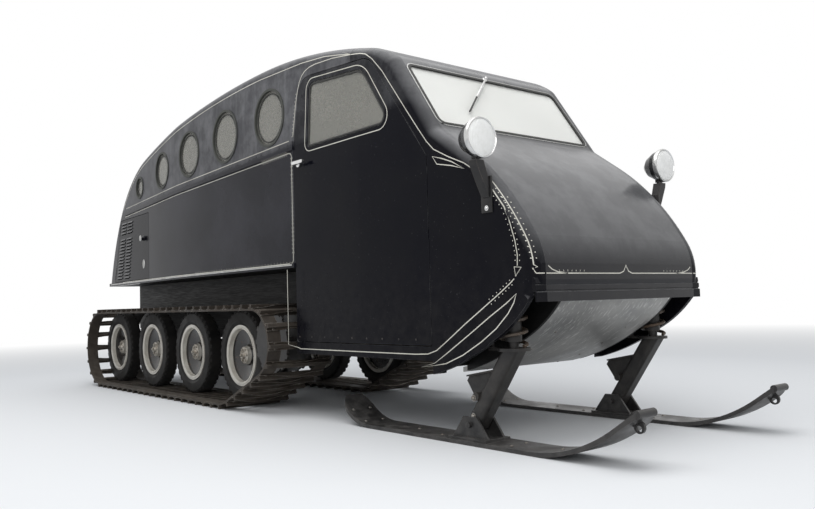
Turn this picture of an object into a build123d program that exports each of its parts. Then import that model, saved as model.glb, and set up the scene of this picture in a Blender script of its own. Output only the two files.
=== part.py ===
from build123d import *
from math import asin, atan2, cos, degrees, hypot, radians, sin
import os

# A snowcoach: a wooden coach body on two endless tracks, steered by two long skis.
# +X points forward, +Y to its left and +Z up. The ground is Z = 0.

# Body form
HALF_WIDTH = 700.0
REAR_HALF_WIDTH = 600.0
FRONT_HALF_WIDTH = 680.0
BODY_REAR_X = -3050.0
NOSE_X = 2562.0
TAPER_REAR_X = -1200.0
TAPER_FRONT_X = 1300.0
PLAN_OVERRUN = 60.0
OVERRUN = 10.0
CROWN_LOW_Z = 800.0
FLANK_DEPTH_Y = 500.0
ROOF_Z = 2308.0
ROOF_CREST_X = 200.0
ROOF_REAR_END = (-2000.0, 2065.0)
ROOF_FRONT_END = (1400.0, 2150.0)
HAUNCH_END = (-2740.0, 1590.0)
TAIL_Z = 985.0
NOSE_BOTTOM_Z = 731.0
BELLY_Z = 325.0
BELLY_END_X = 1850.0
BELLY_SWEEP = (2080.0, 395.0)
BELLY_BREAK = (2300.0, 505.0)
CHIN_SWEEP = (2455.0, 610.0)
COWL_END = (2100.0, 1468.0)
HOOD_END = (2530.0, 990.0)
WINDSHIELD_TOP = (1620.0, 2035.0)
WINDSHIELD_FOOT = (1926.0, 1591.0)
SCREEN_HALF_WIDTH = 600.0
SCREEN_HEIGHT = 450.0
SCREEN_RADIUS = 40.0
BROW_SEAM_X = 1580.0
COWL_SEAM_X = 2010.0
SEAM_FLOOR_Z = 1300.0
A_PILLAR_SEAM_X = 1250.0
EDGE_RADIUS = 60.0
CORNER_RADIUS = 90.0
WALL = 25.0
SEAM_INSET = 78.0
SKIRT_Z = 940.0
SILL_Z = 400.0
FIT = 0.3

# Front doors
DOOR_REAR_X = 605.0
DOOR_FRONT_X = 1885.0
DOOR_BOTTOM_Z = 471.0
DOOR_TOP_Z = 2135.0
DOOR_TOP_REAR_X = 695.0
DOOR_WAIST_Z = 1690.0
DOOR_SLOPE_FOOT_Z = 1452.0
DOOR_SLOPE_TOP = (1428.0, 2085.0)
DOOR_RADII = (20.0, 12.0, 40.0, 160.0, 120.0, 300.0)
DOOR_GAP = 5.0
DOOR_GLASS = 6.0
WINDOW_SILL_Z = 1677.0
WINDOW_REAR_X = 765.0
WINDOW_REAR_TOP = (800.0, 2080.0)
WINDOW_FRONT_X = 1600.0
WINDOW_TOP = (1360.0, 2035.0)
WINDOW_RADII = (30.0, 55.0, 150.0, 50.0)
DOOR_JAMB = 10.0
HANDLE_SETBACK = 70.0
HANDLE_Z = 1590.0
HANDLE_PLATE_RADIUS = 22.0
HANDLE_PLATE = 12.0
HANDLE_STEM_RADIUS = 11.0
HANDLE_STEM = 28.0
HANDLE_LEVER = 128.0
HANDLE_LEVER_WIDTH = 20.0
HANDLE_LEVER_THICKNESS = 14.0

# Side portholes: station along the body, height and clear radius, front to rear
PORTHOLES = [
    (309.0, 1956.0, 180.0),
    (-334.0, 1946.0, 180.0),
    (-956.0, 1918.0, 168.0),
    (-1534.0, 1874.0, 142.0),
    (-2120.0, 1806.0, 84.0),
]
PORTHOLE_RIM = 16.0
RIM_STANDOFF = 7.0
PORTHOLE_GLASS = 5.0

# Side moulding below the portholes
MOULDING_FRONT_Z = 1718.0
MOULDING_REAR_Z = 1622.0
MOULDING_REAR_X = -2540.0
MOULDING_WIDTH = 56.0
MOULDING_DEPTH = 10.0

# Engine bay doors in the rear of each side
ENGINE_DOOR_FRONT_X = -1890.0
ENGINE_DOOR_REAR_X = -2890.0
ENGINE_DOOR_TOP_REAR_X = -2680.0
ENGINE_DOOR_BOTTOM_Z = 972.0
ENGINE_DOOR_TOP_Z = 1560.0
ENGINE_DOOR_RADIUS = 14.0

# Louvres of the engine doors: the two columns as X at the top and at the foot
LOUVRE_COLUMNS = [
    (-2567.0, -2727.0),
    (-2402.0, -2509.0),
]
LOUVRE_TOP_Z = 1515.0
LOUVRE_PITCH = 30.0
LOUVRE_ROWS = 17
LOUVRE_SKIPPED_ROW = 4
LOUVRE_LENGTH = 148.0
LOUVRE_HOOD = 15.0
LOUVRE_DEPTH = 8.0
LOUVRE_SLOT = 9.0
LATCH_X = -2030.0
LATCH_Z = 1340.0
LATCH_RADIUS = 24.0
LATCH_HEIGHT = 26.0
LATCH_TAPER = 20.0

# Slim hinges in the gaps at the doors' edges, by their height
DOOR_HINGE_ZS = [600.0, 960.0, 1330.0]
ENGINE_HINGE_ZS = [1060.0, 1470.0]
HINGE_LENGTH = 120.0
HINGE_WEB = 2.0

# Rails along the skirt and round the foot of the nose
SKIRT_RAIL_HEIGHT = 34.0
SKIRT_RAIL_SETBACK = 12.0
NOSE_TRIM_PROFILE = [
    (FIT, -47.0),
    (13.0, -47.0),
    (13.0, -4.0),
    (4.0, -1.0),
    (4.0, 4.0),
    (9.0, 6.0),
    (9.0, 28.0),
    (2.0, 30.0),
    (2.0, 35.0),
    (6.0, 37.0),
    (3.0, 60.0),
    (-14.0, 62.0),
    (-14.0, 0.0),
    (FIT, 0.0),
]
NOSE_TRIM_HALF_WIDTH = 668.0

# Inner body
TUB_HALF_WIDTH = 340.0
TUB_FLOOR_Z = 520.0
TUB_WALL = 18.0
TUB_REAR_X = -2960.0
FOOTWELL_X = 595.0
RECESS_Y = 450.0
RECESS_TOP_Z = 760.0
BULKHEAD_X = -1790.0
BULKHEAD_TOP_Z = 1650.0

# Frame rails and tow lug
RAIL_Y = 255.0
RAIL_WIDTH = 60.0
RAIL_HEIGHT = 70.0
RAIL_WALL = 8.0
RAIL_REAR_X = -2930.0
RAIL_FRONT_X = 100.0
TOW_BORE = 32.0
TOW_LUG_LENGTH = 90.0
TOW_LUG_THICKNESS = 25.0

# Running gear
WHEEL_RADIUS = 317.5
TYRE_WIDTH = 115.0
RIM_RADIUS = 203.0
RIM_WIDTH = 90.0
WHEEL_Y = 610.0
WHEEL_PITCH = 810.0
WHEEL_4_X = -219.0
WHEEL_COUNT = 4
BELT_THICKNESS = 12.0
LUG_HEIGHT = 28.0
LUG_WIDTH = 22.0
LUG_PITCH = 124.0
BELT_WIDTH = 480.0
BAND_WIDTH = 95.0
SPROCKET_X = 275.0
SPROCKET_RADIUS = 215.0
SPROCKET_DISC = 14.0
AXLE_RADIUS = 22.0
HUB_RADIUS = 52.0
SPRING_WIDTH = 50.0

# Skis and steering
SKI_WIDTH = 200.0
SKI_THICKNESS = 20.0
SKI_REAR_X = 1005.0
SKI_TIP_X = 3050.0
SKI_TIP_Z = 225.0
SKI_TAIL_Z = 150.0
SKI_Y = 570.0
KINGPIN_X = 2330.0
KINGPIN_RADIUS = 24.0
KINGPIN_TOP_Z = 735.0
LEG_TOP_Z = 456.0
LEG_FOOT = (2075.0, 92.0)
LEG_WIDTH = 96.0
LEG_WALL = 10.0
BOLT_RADIUS = 14.0
SADDLE_HEIGHT = 92.0
STEER_ARM = 140.0
TIE_ROD_RADIUS = 11.0
TIE_ROD_EYE_HEIGHT = 28.0
TIE_ROD_Z = 520.0
SPRING_COIL_RADIUS = 62.0
SPRING_WIRE = 9.0

# Headlamps
LAMP_X = 2345.0
LAMP_Y = 751.0
LAMP_Z = 1453.0
LAMP_RADIUS = 93.0
LAMP_DEPTH = 130.0

# Ski, steering, seat and lamp details
RECESS_REAR_X = 1900.0
FIREWALL_X = 2110.0
SKI_FLAT_REAR_X = 1300.0
SKI_FLAT_FRONT_X = 2480.0
SADDLE_LENGTH = 260.0
SADDLE_PLATE = 12.0
LEG_DEPTH = 84.0
LEG_BOSS = 34.0
GUSSET_THICKNESS = 12.0
GUSSET_FLANGE = 60.0
GUSSET_BOLT = (2118.0, 232.0)
GUSSET_OUTLINE = [
    (2185.0, 232.0),
    (2075.0, 205.0),
    (2010.0, 300.0),
    (2030.0, 330.0),
    (2230.0, 368.0),
    (2300.0, 410.0),
]
GUSSET_LIP = [
    (2030.0, 322.0),
    (2030.0, 330.0),
    (2230.0, 368.0),
    (2230.0, 360.0),
]
TIP_BAR_RADIUS = 18.0
TIP_BAR_WIDTH = 120.0
TIP_EYE_RADIUS = 26.0
TIP_EYE_SETBACK = 45.0
TIP_EYE_DROP = 58.0
SEAT_RADIUS = 78.0
SEAT_THICKNESS = 14.0
ARM_WIDTH = 40.0
ARM_PIN_RADIUS = 9.0
HOUSING_LOW_Z = 500.0
HOUSING_RADIUS = 40.0
SPRING_TURNS = 4
TIE_ROD_EYE = 20.0
COLUMN_HEAD = (1500.0, 330.0, 1290.0)
COLUMN_FOOT = (1985.0, 330.0, 560.0)
COLUMN_RADIUS = 20.0
WHEEL_HUB_HEIGHT = 40.0
HAND_WHEEL_RADIUS = 205.0
HAND_GRIP_RADIUS = 11.0
SEAT_FRONT_X = 1330.0
SEAT_DEPTH = 430.0
SEAT_BACK = 70.0
SEAT_TOP_Z = 860.0
SEAT_BACK_TOP_Z = 1330.0
SEAT_HALF_WIDTH = 600.0
SEAT_SOFTNESS = 24.0
BENCH_REAR_X = -1700.0
BENCH_FRONT_X = 380.0
BENCH_OUTER_Y = 640.0
BENCH_CUSHION = 100.0
BENCH_BACK = 70.0
BENCH_BACK_TOP_Z = 1480.0
BENCH_SOFTNESS = 18.0
LAMP_RIM = 16.0
LENS_RADIUS = 84.0
LENS_THICKNESS = 8.0
LAMP_STEM_Z = 1352.0
LAMP_STEM_SETBACK = 42.0
LAMP_STEM_RADIUS = 16.0
BRACKET_WIDTH = 50.0
BRACKET_LOW_Z = 1180.0
BRACKET_TOP_Z = 1258.0
WIPER_PIVOT_RISE = 14.0
WIPER_PIVOT_RADIUS = 11.0
WIPER_PIVOT_HEIGHT = 18.0
WIPER_ARM = 150.0
WIPER_BLADE = 230.0

# Engine and frame details
ENGINE_REAR_X = -2600.0
ENGINE_LENGTH = 720.0
ENGINE_WIDTH = 580.0
ENGINE_HEIGHT = 640.0
ENGINE_CHAMFER = 120.0
CROSS_MEMBER_XS = [-2930.0, -1600.0, -600.0, 40.0]
HUB_INNER = 48.0
RIM_FLANGE = 13.0
RIM_WALL = 13.0
RIM_LIP = 8.0
HUB_FACE = 20.0
SPRING_HALF = 250.0
SPRING_LEAF = 12.0
SPROCKET_SPREAD = 78.0
DRIVE_AXLE_RADIUS = 34.0
TOOTH_DEPTH = 16.0
TOOTH_COUNT = 14
TOOTH_WIDTH = 30.0
HANGER_Y = 200.0

# Axle height over the ground, and the run of the belt's inner face
WHEEL_Z = LUG_HEIGHT + BELT_THICKNESS + FIT + WHEEL_RADIUS
SPROCKET_Z = WHEEL_Z + WHEEL_RADIUS - SPROCKET_RADIUS
TIE_ROD_X = KINGPIN_X - STEER_ARM
WHEEL_XS = [WHEEL_4_X - WHEEL_PITCH * n for n in range(WHEEL_COUNT)]
SIDES = {"right": -1, "left": 1}

os.makedirs("parts", exist_ok=True)


def finish(part, name):
    part.label = name
    export_step(part, f"parts/{name}.step")


def side_half_width(x):
    """Half width of the body at a station along it."""
    if x < TAPER_REAR_X:
        share = (TAPER_REAR_X - x) / (TAPER_REAR_X - BODY_REAR_X + PLAN_OVERRUN)
        return HALF_WIDTH + (REAR_HALF_WIDTH - HALF_WIDTH) * share
    if x > TAPER_FRONT_X:
        share = (x - TAPER_FRONT_X) / (NOSE_X + PLAN_OVERRUN - TAPER_FRONT_X)
        return HALF_WIDTH + (FRONT_HALF_WIDTH - HALF_WIDTH) * share
    return HALF_WIDTH


def plan_block(inset):
    """The body's plan, drawn in by an inset at its sides, as a tall block."""
    rear = (BODY_REAR_X - PLAN_OVERRUN, REAR_HALF_WIDTH - inset)
    shoulder = (TAPER_REAR_X, HALF_WIDTH - inset)
    flank = (TAPER_FRONT_X, HALF_WIDTH - inset)
    front = (NOSE_X + PLAN_OVERRUN, FRONT_HALF_WIDTH - inset)
    half = [rear, shoulder, flank, front]
    mirrored = [(x, -y) for x, y in reversed(half)]
    with BuildPart() as block:
        with BuildSketch(Plane.XY):
            with BuildLine():
                Polyline(*half, *mirrored, close=True)
            make_face()
        extrude(amount=ROOF_Z + PLAN_OVERRUN)
    return block.part


def body_form(inset, edge_radius):
    """The coach body as one solid, drawn in by an inset on every face."""
    with BuildPart() as form:
        with BuildSketch(Plane.XZ):
            with BuildLine():
                crest = (ROOF_CREST_X, ROOF_Z)
                roof_rear = TangentArc(crest, ROOF_REAR_END, tangent=(-1, 0))
                haunch = TangentArc(roof_rear @ 1, HAUNCH_END, tangent=roof_rear % 1)
                tail = TangentArc(haunch @ 1, (BODY_REAR_X, TAIL_Z), tangent=haunch % 1)
                Polyline(tail @ 1, (BODY_REAR_X, BELLY_Z), (BELLY_END_X, BELLY_Z))
                ThreePointArc((BELLY_END_X, BELLY_Z), BELLY_SWEEP, BELLY_BREAK)
                ThreePointArc(BELLY_BREAK, CHIN_SWEEP, (NOSE_X, NOSE_BOTTOM_Z))
                roof_front = TangentArc(crest, ROOF_FRONT_END, tangent=(1, 0))
                brow = TangentArc(roof_front @ 1, WINDSHIELD_TOP, tangent=roof_front % 1)
                screen = Line(brow @ 1, WINDSHIELD_FOOT)
                cowl = Line(screen @ 1, COWL_END)
                hood = TangentArc(cowl @ 1, HOOD_END, tangent=cowl % 1)
                TangentArc(hood @ 1, (NOSE_X, NOSE_BOTTOM_Z), tangent=hood % 1)
            outline = make_face()
            corner_xs = (WINDSHIELD_TOP[0], WINDSHIELD_FOOT[0])
            corners = [v for v in outline.vertices() if min(abs(v.X - x) for x in corner_xs) < 1]
            fillet(corners, radius=CORNER_RADIUS)
            if inset:
                offset(amount=-inset, kind=Kind.ARC)
        extrude(amount=HALF_WIDTH + PLAN_OVERRUN, both=True)
        add(plan_block(inset), mode=Mode.INTERSECT)
        if edge_radius:
            long_edges = form.edges().filter_by(lambda e: e.bounding_box().size.X > 1)
            crown = long_edges.filter_by(lambda e: e.center().Z > CROWN_LOW_Z)
            crown = crown.filter_by(lambda e: abs(e.center().Y) > FLANK_DEPTH_Y)
            fillet(crown, radius=edge_radius)
    return form.part


def side_prism(points, radii, near, far):
    """A block over an outline seen from the side, with rounded corners, between two Y planes."""
    with BuildPart() as prism:
        with BuildSketch(Plane.XZ.offset(-near)) as face:
            with BuildLine():
                Polyline(*points, close=True)
            make_face()
            for point, radius in zip(points, radii):
                if radius:
                    corner = face.vertices().sort_by_distance((point[0], point[1], 0))[0]
                    fillet(corner, radius=radius)
        extrude(amount=near - far)
    return prism.part


def side_box(x_low, x_high, y_low, y_high, z_low, z_high):
    """A block given by its limits."""
    with BuildPart() as block:
        with Locations(((x_low + x_high) / 2, (y_low + y_high) / 2, (z_low + z_high) / 2)):
            Box(x_high - x_low, y_high - y_low, z_high - z_low)
    return block.part


def side_round(x, z, radius, near, far):
    """A round block across the body between two Y planes."""
    with BuildPart() as plug:
        with BuildSketch(Plane.XZ.offset(-near)):
            with Locations((x, z)):
                Circle(radius)
        extrude(amount=near - far)
    return plug.part


def door_outline(shrink):
    """Corners and radii of a front door, drawn in all round by a gap."""
    slope = atan2(DOOR_SLOPE_TOP[1] - DOOR_SLOPE_FOOT_Z, DOOR_FRONT_X - DOOR_SLOPE_TOP[0])
    side_step = shrink * (1 - sin(slope)) / cos(slope)
    points = [
        (DOOR_REAR_X + shrink, DOOR_BOTTOM_Z + shrink),
        (DOOR_FRONT_X - shrink, DOOR_BOTTOM_Z + shrink),
        (DOOR_FRONT_X - shrink, DOOR_SLOPE_FOOT_Z - side_step),
        (DOOR_SLOPE_TOP[0] - shrink * 0.8, DOOR_SLOPE_TOP[1] - shrink),
        (DOOR_TOP_REAR_X + shrink, DOOR_TOP_Z - shrink),
        (DOOR_REAR_X + shrink, DOOR_WAIST_Z),
    ]
    return points, DOOR_RADII


def skin_normal(x, side):
    """Outward normal of the body's flat side at a station along it."""
    step = 100.0
    return Vector((side_half_width(x) - side_half_width(x + step)) / step, side, 0).normalized()


def hinge_line(foot, top, side, turn):
    """Plane on a hinge's axis at the skin: Z along the axis, X into the door, Y outward."""
    low = Vector(foot[0], side * side_half_width(foot[0]), foot[1])
    high = Vector(top[0], side * side_half_width(top[0]), top[1])
    axis = (high - low) * turn
    return Plane(origin=low, x_dir=skin_normal(foot[0], side).cross(axis), z_dir=axis)


def hinge_knuckles(line, heights, gap):
    """Knuckles on the door and on the wall, which take turns along one axis in the gap."""
    half_gap = gap / 2
    share = HINGE_LENGTH / 3
    leaves = []
    for into, spots in ((1, (0,)), (-1, (-share, share))):
        with BuildPart() as leaf:
            for height in heights:
                for spot in spots:
                    with BuildSketch(line.offset(height + spot - share / 2 + FIT / 2)):
                        Circle(half_gap - FIT)
                        with Locations((into * (half_gap + HINGE_WEB) / 2, -HINGE_WEB / 2)):
                            Rectangle(half_gap + HINGE_WEB, HINGE_WEB)
                    extrude(amount=share - FIT)
        leaves.append(leaf.part)
    return leaves


shell_outer = body_form(0, EDGE_RADIUS)
shell_inner = body_form(WALL, 0)
shell = shell_outer - shell_inner
strip = plan_block(SEAM_INSET)
strip_shell = shell & strip

# Roof panel: bent sheet from the brow over the cabin and down to the tail
with BuildPart() as roof_panel:
    add(strip_shell)
    add(
        side_box(HAUNCH_END[0], BROW_SEAM_X, -HALF_WIDTH, HALF_WIDTH, SEAM_FLOOR_Z, ROOF_Z + OVERRUN),
        mode=Mode.INTERSECT,
    )
roof_solids = roof_panel.part.solids().sort_by(Axis.Z)
roof_part = Part(roof_solids[-1].wrapped)
finish(roof_part, "roof_panel")

# Rear panel: closes the tail below the roof
with BuildPart() as rear_panel:
    add(strip_shell)
    add(
        side_box(BODY_REAR_X - OVERRUN, HAUNCH_END[0], -HALF_WIDTH, HALF_WIDTH, SKIRT_Z, ROOF_Z),
        mode=Mode.INTERSECT,
    )
finish(rear_panel.part, "rear_panel")

# Windshield frame: the brow and the cowl round one wide pane
screen_run = WINDSHIELD_FOOT[0] - WINDSHIELD_TOP[0]
screen_drop = WINDSHIELD_TOP[1] - WINDSHIELD_FOOT[1]
screen_length = hypot(screen_run, screen_drop)
screen_angle = degrees(atan2(screen_drop, screen_run))
screen_middle = (
    (WINDSHIELD_TOP[0] + WINDSHIELD_FOOT[0]) / 2,
    0,
    (WINDSHIELD_TOP[1] + WINDSHIELD_FOOT[1]) / 2,
)
screen_plane = Plane(
    origin=screen_middle,
    x_dir=(-cos(radians(screen_angle)), 0, sin(radians(screen_angle))),
    z_dir=(sin(radians(screen_angle)), 0, cos(radians(screen_angle))),
)
with BuildPart() as windshield_frame:
    add(strip_shell)
    add(
        side_box(BROW_SEAM_X, COWL_SEAM_X, -HALF_WIDTH, HALF_WIDTH, SEAM_FLOOR_Z, ROOF_Z),
        mode=Mode.INTERSECT,
    )
    with BuildSketch(screen_plane):
        RectangleRounded(SCREEN_HEIGHT, 2 * SCREEN_HALF_WIDTH, SCREEN_RADIUS)
    extrude(amount=PLAN_OVERRUN, both=True, mode=Mode.SUBTRACT)
finish(windshield_frame.part, "windshield_frame")

with BuildPart() as windshield_glass:
    with BuildSketch(screen_plane.offset(-WALL / 2)):
        RectangleRounded(SCREEN_HEIGHT - 2 * FIT, 2 * (SCREEN_HALF_WIDTH - FIT), SCREEN_RADIUS - FIT)
    extrude(amount=DOOR_GLASS / 2, both=True)
finish(windshield_glass.part, "windshield_glass")

# Stepped rail round the foot of the nose, shared by the nose panel and the cheeks
with BuildPart() as nose_trim:
    with BuildSketch(Plane.XZ):
        with BuildLine():
            Polyline(
                *[(NOSE_X + out, NOSE_BOTTOM_Z + rise) for out, rise in NOSE_TRIM_PROFILE], close=True
            )
        make_face()
    extrude(amount=NOSE_TRIM_HALF_WIDTH, both=True)

# Hood: the bowed nose sheet from the cowl down to the trim
with BuildPart() as nose_panel:
    add(strip_shell)
    add(
        side_box(COWL_SEAM_X, NOSE_X + OVERRUN, -HALF_WIDTH, HALF_WIDTH, NOSE_BOTTOM_Z, ROOF_Z),
        mode=Mode.INTERSECT,
    )
    add(nose_trim.part & strip)
nose_part = Part(nose_panel.part.solids().sort_by(SortBy.VOLUME)[-1].wrapped)
finish(nose_part, "nose_panel")

# Belly pan: the curved sheet between the ski legs
with BuildPart() as belly_pan:
    add(shell)
    add(
        side_box(BELLY_END_X, NOSE_X + OVERRUN, -RECESS_Y, RECESS_Y, BELLY_Z - OVERRUN, NOSE_BOTTOM_Z),
        mode=Mode.INTERSECT,
    )
finish(belly_pan.part, "belly_pan")

moulding_points = [
    (DOOR_REAR_X, MOULDING_FRONT_Z - MOULDING_WIDTH / 2),
    (DOOR_REAR_X, MOULDING_FRONT_Z + MOULDING_WIDTH / 2),
    (MOULDING_REAR_X, MOULDING_REAR_Z + MOULDING_WIDTH / 2),
    (MOULDING_REAR_X, MOULDING_REAR_Z - MOULDING_WIDTH / 2),
]
engine_door_points = [
    (ENGINE_DOOR_REAR_X, ENGINE_DOOR_BOTTOM_Z),
    (ENGINE_DOOR_FRONT_X, ENGINE_DOOR_BOTTOM_Z),
    (ENGINE_DOOR_FRONT_X, ENGINE_DOOR_TOP_Z),
    (ENGINE_DOOR_TOP_REAR_X, ENGINE_DOOR_TOP_Z),
]
skirt_rail_points = [
    (BODY_REAR_X + SKIRT_RAIL_SETBACK, SKIRT_Z),
    (DOOR_REAR_X - DOOR_GAP, SKIRT_Z),
    (DOOR_REAR_X - DOOR_GAP, SKIRT_Z + SKIRT_RAIL_HEIGHT - DOOR_GAP),
    (BODY_REAR_X + SKIRT_RAIL_SETBACK, SKIRT_Z + SKIRT_RAIL_HEIGHT - DOOR_GAP),
]
side_ring = plan_block(-RIM_STANDOFF) - plan_block(WALL + RIM_STANDOFF)
moulding_ring = plan_block(-MOULDING_DEPTH) - plan_block(0)

# One louvre hood, seen from its end: root at the top, open lip below
with BuildPart() as louvre_hood:
    with BuildSketch(Plane.YZ):
        with BuildLine():
            Polyline((0, -1), (LOUVRE_HOOD, -1), (LOUVRE_HOOD, 0), (0, LOUVRE_DEPTH), close=True)
        make_face()
    extrude(amount=LOUVRE_LENGTH / 2, both=True)

rim_solids = []
pane_solids = []
for name, side in SIDES.items():
    near = side * (HALF_WIDTH + PLAN_OVERRUN)
    far = side * FLANK_DEPTH_Y
    low_y, high_y = min(near, far), max(near, far)
    flank = shell & side_box(
        BODY_REAR_X - OVERRUN, NOSE_X + OVERRUN, low_y - OVERRUN, high_y + OVERRUN, 0, ROOF_Z + OVERRUN
    )
    flank = flank - strip
    door_points, door_radii = door_outline(0)
    door_hole = side_prism(door_points, door_radii, near, far)
    door_line_x = DOOR_FRONT_X - DOOR_GAP / 2
    front_line = hinge_line((door_line_x, 0), (door_line_x, 1), side, -side)
    front_hinge = hinge_knuckles(front_line, [-side * z for z in DOOR_HINGE_ZS], DOOR_GAP)
    rear_line = hinge_line(
        (ENGINE_DOOR_REAR_X + DOOR_GAP / 2, ENGINE_DOOR_BOTTOM_Z),
        (ENGINE_DOOR_TOP_REAR_X + DOOR_GAP / 2, ENGINE_DOOR_TOP_Z),
        side,
        side,
    )
    rear_heights = [side * (z - ENGINE_DOOR_BOTTOM_Z) / abs(rear_line.z_dir.Z) for z in ENGINE_HINGE_ZS]
    rear_gap = DOOR_GAP * abs(rear_line.z_dir.Z)
    rear_hinge = hinge_knuckles(rear_line, rear_heights, rear_gap)

    # Side panel behind the door, with its portholes and moulding
    with BuildPart() as side_panel:
        add(flank)
        add(
            side_box(BODY_REAR_X - OVERRUN, A_PILLAR_SEAM_X, low_y, high_y, SKIRT_Z, ROOF_Z + OVERRUN),
            mode=Mode.INTERSECT,
        )
        add(side_prism(moulding_points, (0, 0, 0, 0), near, far) & moulding_ring)
        add(side_prism(skirt_rail_points, (0, 0, 0, 0), near, far) & moulding_ring)
        add(door_hole, mode=Mode.SUBTRACT)
        add(side_prism(engine_door_points, 4 * (ENGINE_DOOR_RADIUS + FIT,), near, far), mode=Mode.SUBTRACT)
        for x, z, radius in PORTHOLES:
            add(side_round(x, z, radius + PORTHOLE_RIM, near, far), mode=Mode.SUBTRACT)
        add(rear_hinge[1])
    side_part = Part(side_panel.part.solids().sort_by(SortBy.VOLUME)[-1].wrapped)
    finish(side_part, f"{name}_side_panel")

    # Cheek panel: windshield pillar, nose side and the sill under the door, in one piece
    with BuildPart() as cheek_panel:
        add(flank)
        add(
            side_box(DOOR_REAR_X, NOSE_X + OVERRUN, low_y, high_y, BELLY_Z - OVERRUN, ROOF_Z + OVERRUN),
            mode=Mode.INTERSECT,
        )
        add(
            side_box(DOOR_REAR_X - DOOR_JAMB, A_PILLAR_SEAM_X, low_y, high_y, SKIRT_Z, ROOF_Z + OVERRUN),
            mode=Mode.SUBTRACT,
        )
        add(
            side_box(DOOR_REAR_X - DOOR_JAMB, DOOR_FRONT_X, low_y, high_y, 0, SILL_Z),
            mode=Mode.SUBTRACT,
        )
        add(door_hole, mode=Mode.SUBTRACT)
        add(
            plan_block(WALL) & side_box(
                RECESS_REAR_X, NOSE_X + OVERRUN, low_y, high_y, BELLY_Z - OVERRUN, NOSE_BOTTOM_Z
            ),
            mode=Mode.SUBTRACT,
        )
        trim_reach = OVERRUN + WALL
        add(
            (nose_trim.part - strip)
            & side_box(NOSE_X - trim_reach, NOSE_X + trim_reach, low_y, high_y, 0, ROOF_Z)
        )
        add(front_hinge[1])
    cheek_part = Part(cheek_panel.part.solids().sort_by(SortBy.VOLUME)[-1].wrapped)
    finish(cheek_part, f"{name}_cheek_panel")

    # Front door, as thick as the wall, with a cut window and its pane
    points, radii = door_outline(DOOR_GAP)
    window_points = [
        (WINDOW_REAR_X, WINDOW_SILL_Z),
        (WINDOW_FRONT_X, WINDOW_SILL_Z),
        WINDOW_TOP,
        WINDOW_REAR_TOP,
    ]
    with BuildPart() as door:
        add(flank)
        add(side_prism(points, radii, near, far), mode=Mode.INTERSECT)
        add(side_prism(window_points, WINDOW_RADII, near, far), mode=Mode.SUBTRACT)
        add(front_hinge[0])
    finish(door.part, f"{name}_door")

    glass_ring = plan_block(WALL / 2 - DOOR_GLASS / 2) - plan_block(WALL / 2 + DOOR_GLASS / 2)
    pane_points = [
        (WINDOW_REAR_X + FIT, WINDOW_SILL_Z + FIT),
        (WINDOW_FRONT_X - 2 * FIT, WINDOW_SILL_Z + FIT),
        (WINDOW_TOP[0] - FIT, WINDOW_TOP[1] - FIT),
        (WINDOW_REAR_TOP[0] + FIT, WINDOW_REAR_TOP[1] - FIT),
    ]
    with BuildPart() as door_glass:
        add(side_prism(pane_points, WINDOW_RADII, near, far))
        add(glass_ring, mode=Mode.INTERSECT)
    finish(door_glass.part, f"{name}_door_glass")

    # Lever handle near the door's rear edge
    handle_x = DOOR_REAR_X + HANDLE_SETBACK
    plate_y = side * HALF_WIDTH
    with BuildPart() as handle:
        with BuildSketch(Plane.XZ.offset(-plate_y)):
            with Locations((handle_x, HANDLE_Z)):
                Circle(HANDLE_PLATE_RADIUS)
        extrude(amount=-side * HANDLE_PLATE)
        with BuildSketch(Plane.XZ.offset(-plate_y - side * HANDLE_PLATE)):
            with Locations((handle_x, HANDLE_Z)):
                Circle(HANDLE_STEM_RADIUS)
        extrude(amount=-side * HANDLE_STEM)
        lever_y = plate_y + side * (HANDLE_PLATE + HANDLE_PLATE_RADIUS)
        with BuildSketch(Plane.XZ.offset(-lever_y)):
            with Locations((handle_x + HANDLE_LEVER / 3, HANDLE_Z)):
                SlotOverall(HANDLE_LEVER, HANDLE_LEVER_WIDTH)
        extrude(amount=-side * HANDLE_LEVER_THICKNESS)
    finish(handle.part, f"{name}_door_handle")

    # Engine bay door with two columns of louvres
    louvre_spots = []
    for top_x, foot_x in LOUVRE_COLUMNS:
        for row in range(LOUVRE_ROWS + 1):
            louvre_x = top_x + (foot_x - top_x) * row / LOUVRE_ROWS
            louvre_z = LOUVRE_TOP_Z - row * LOUVRE_PITCH
            if row != LOUVRE_SKIPPED_ROW:
                louvre_spots.append(
                    (-side * (louvre_x - ENGINE_DOOR_FRONT_X), louvre_z - ENGINE_DOOR_BOTTOM_Z)
                )
    rear_run = ENGINE_DOOR_TOP_REAR_X - ENGINE_DOOR_REAR_X
    rear_slope = rear_run / (ENGINE_DOOR_TOP_Z - ENGINE_DOOR_BOTTOM_Z)
    rear_step = DOOR_GAP * rear_slope
    gap_points = [
        (ENGINE_DOOR_REAR_X + DOOR_GAP + rear_step, ENGINE_DOOR_BOTTOM_Z + DOOR_GAP),
        (ENGINE_DOOR_FRONT_X - DOOR_GAP, ENGINE_DOOR_BOTTOM_Z + DOOR_GAP),
        (ENGINE_DOOR_FRONT_X - DOOR_GAP, ENGINE_DOOR_TOP_Z - DOOR_GAP),
        (ENGINE_DOOR_TOP_REAR_X + DOOR_GAP - rear_step, ENGINE_DOOR_TOP_Z - DOOR_GAP),
    ]
    skin_plane = Plane(
        origin=(ENGINE_DOOR_FRONT_X, side * side_half_width(ENGINE_DOOR_FRONT_X), ENGINE_DOOR_BOTTOM_Z),
        x_dir=skin_normal(ENGINE_DOOR_FRONT_X, side).cross(Vector(0, 0, -1)),
        z_dir=skin_normal(ENGINE_DOOR_FRONT_X, side),
    )
    with BuildPart(skin_plane) as hoods:
        with Locations(*[(x, y, 0) for x, y in louvre_spots]):
            add(louvre_hood.part)
    with BuildPart() as engine_door:
        add(flank)
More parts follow.
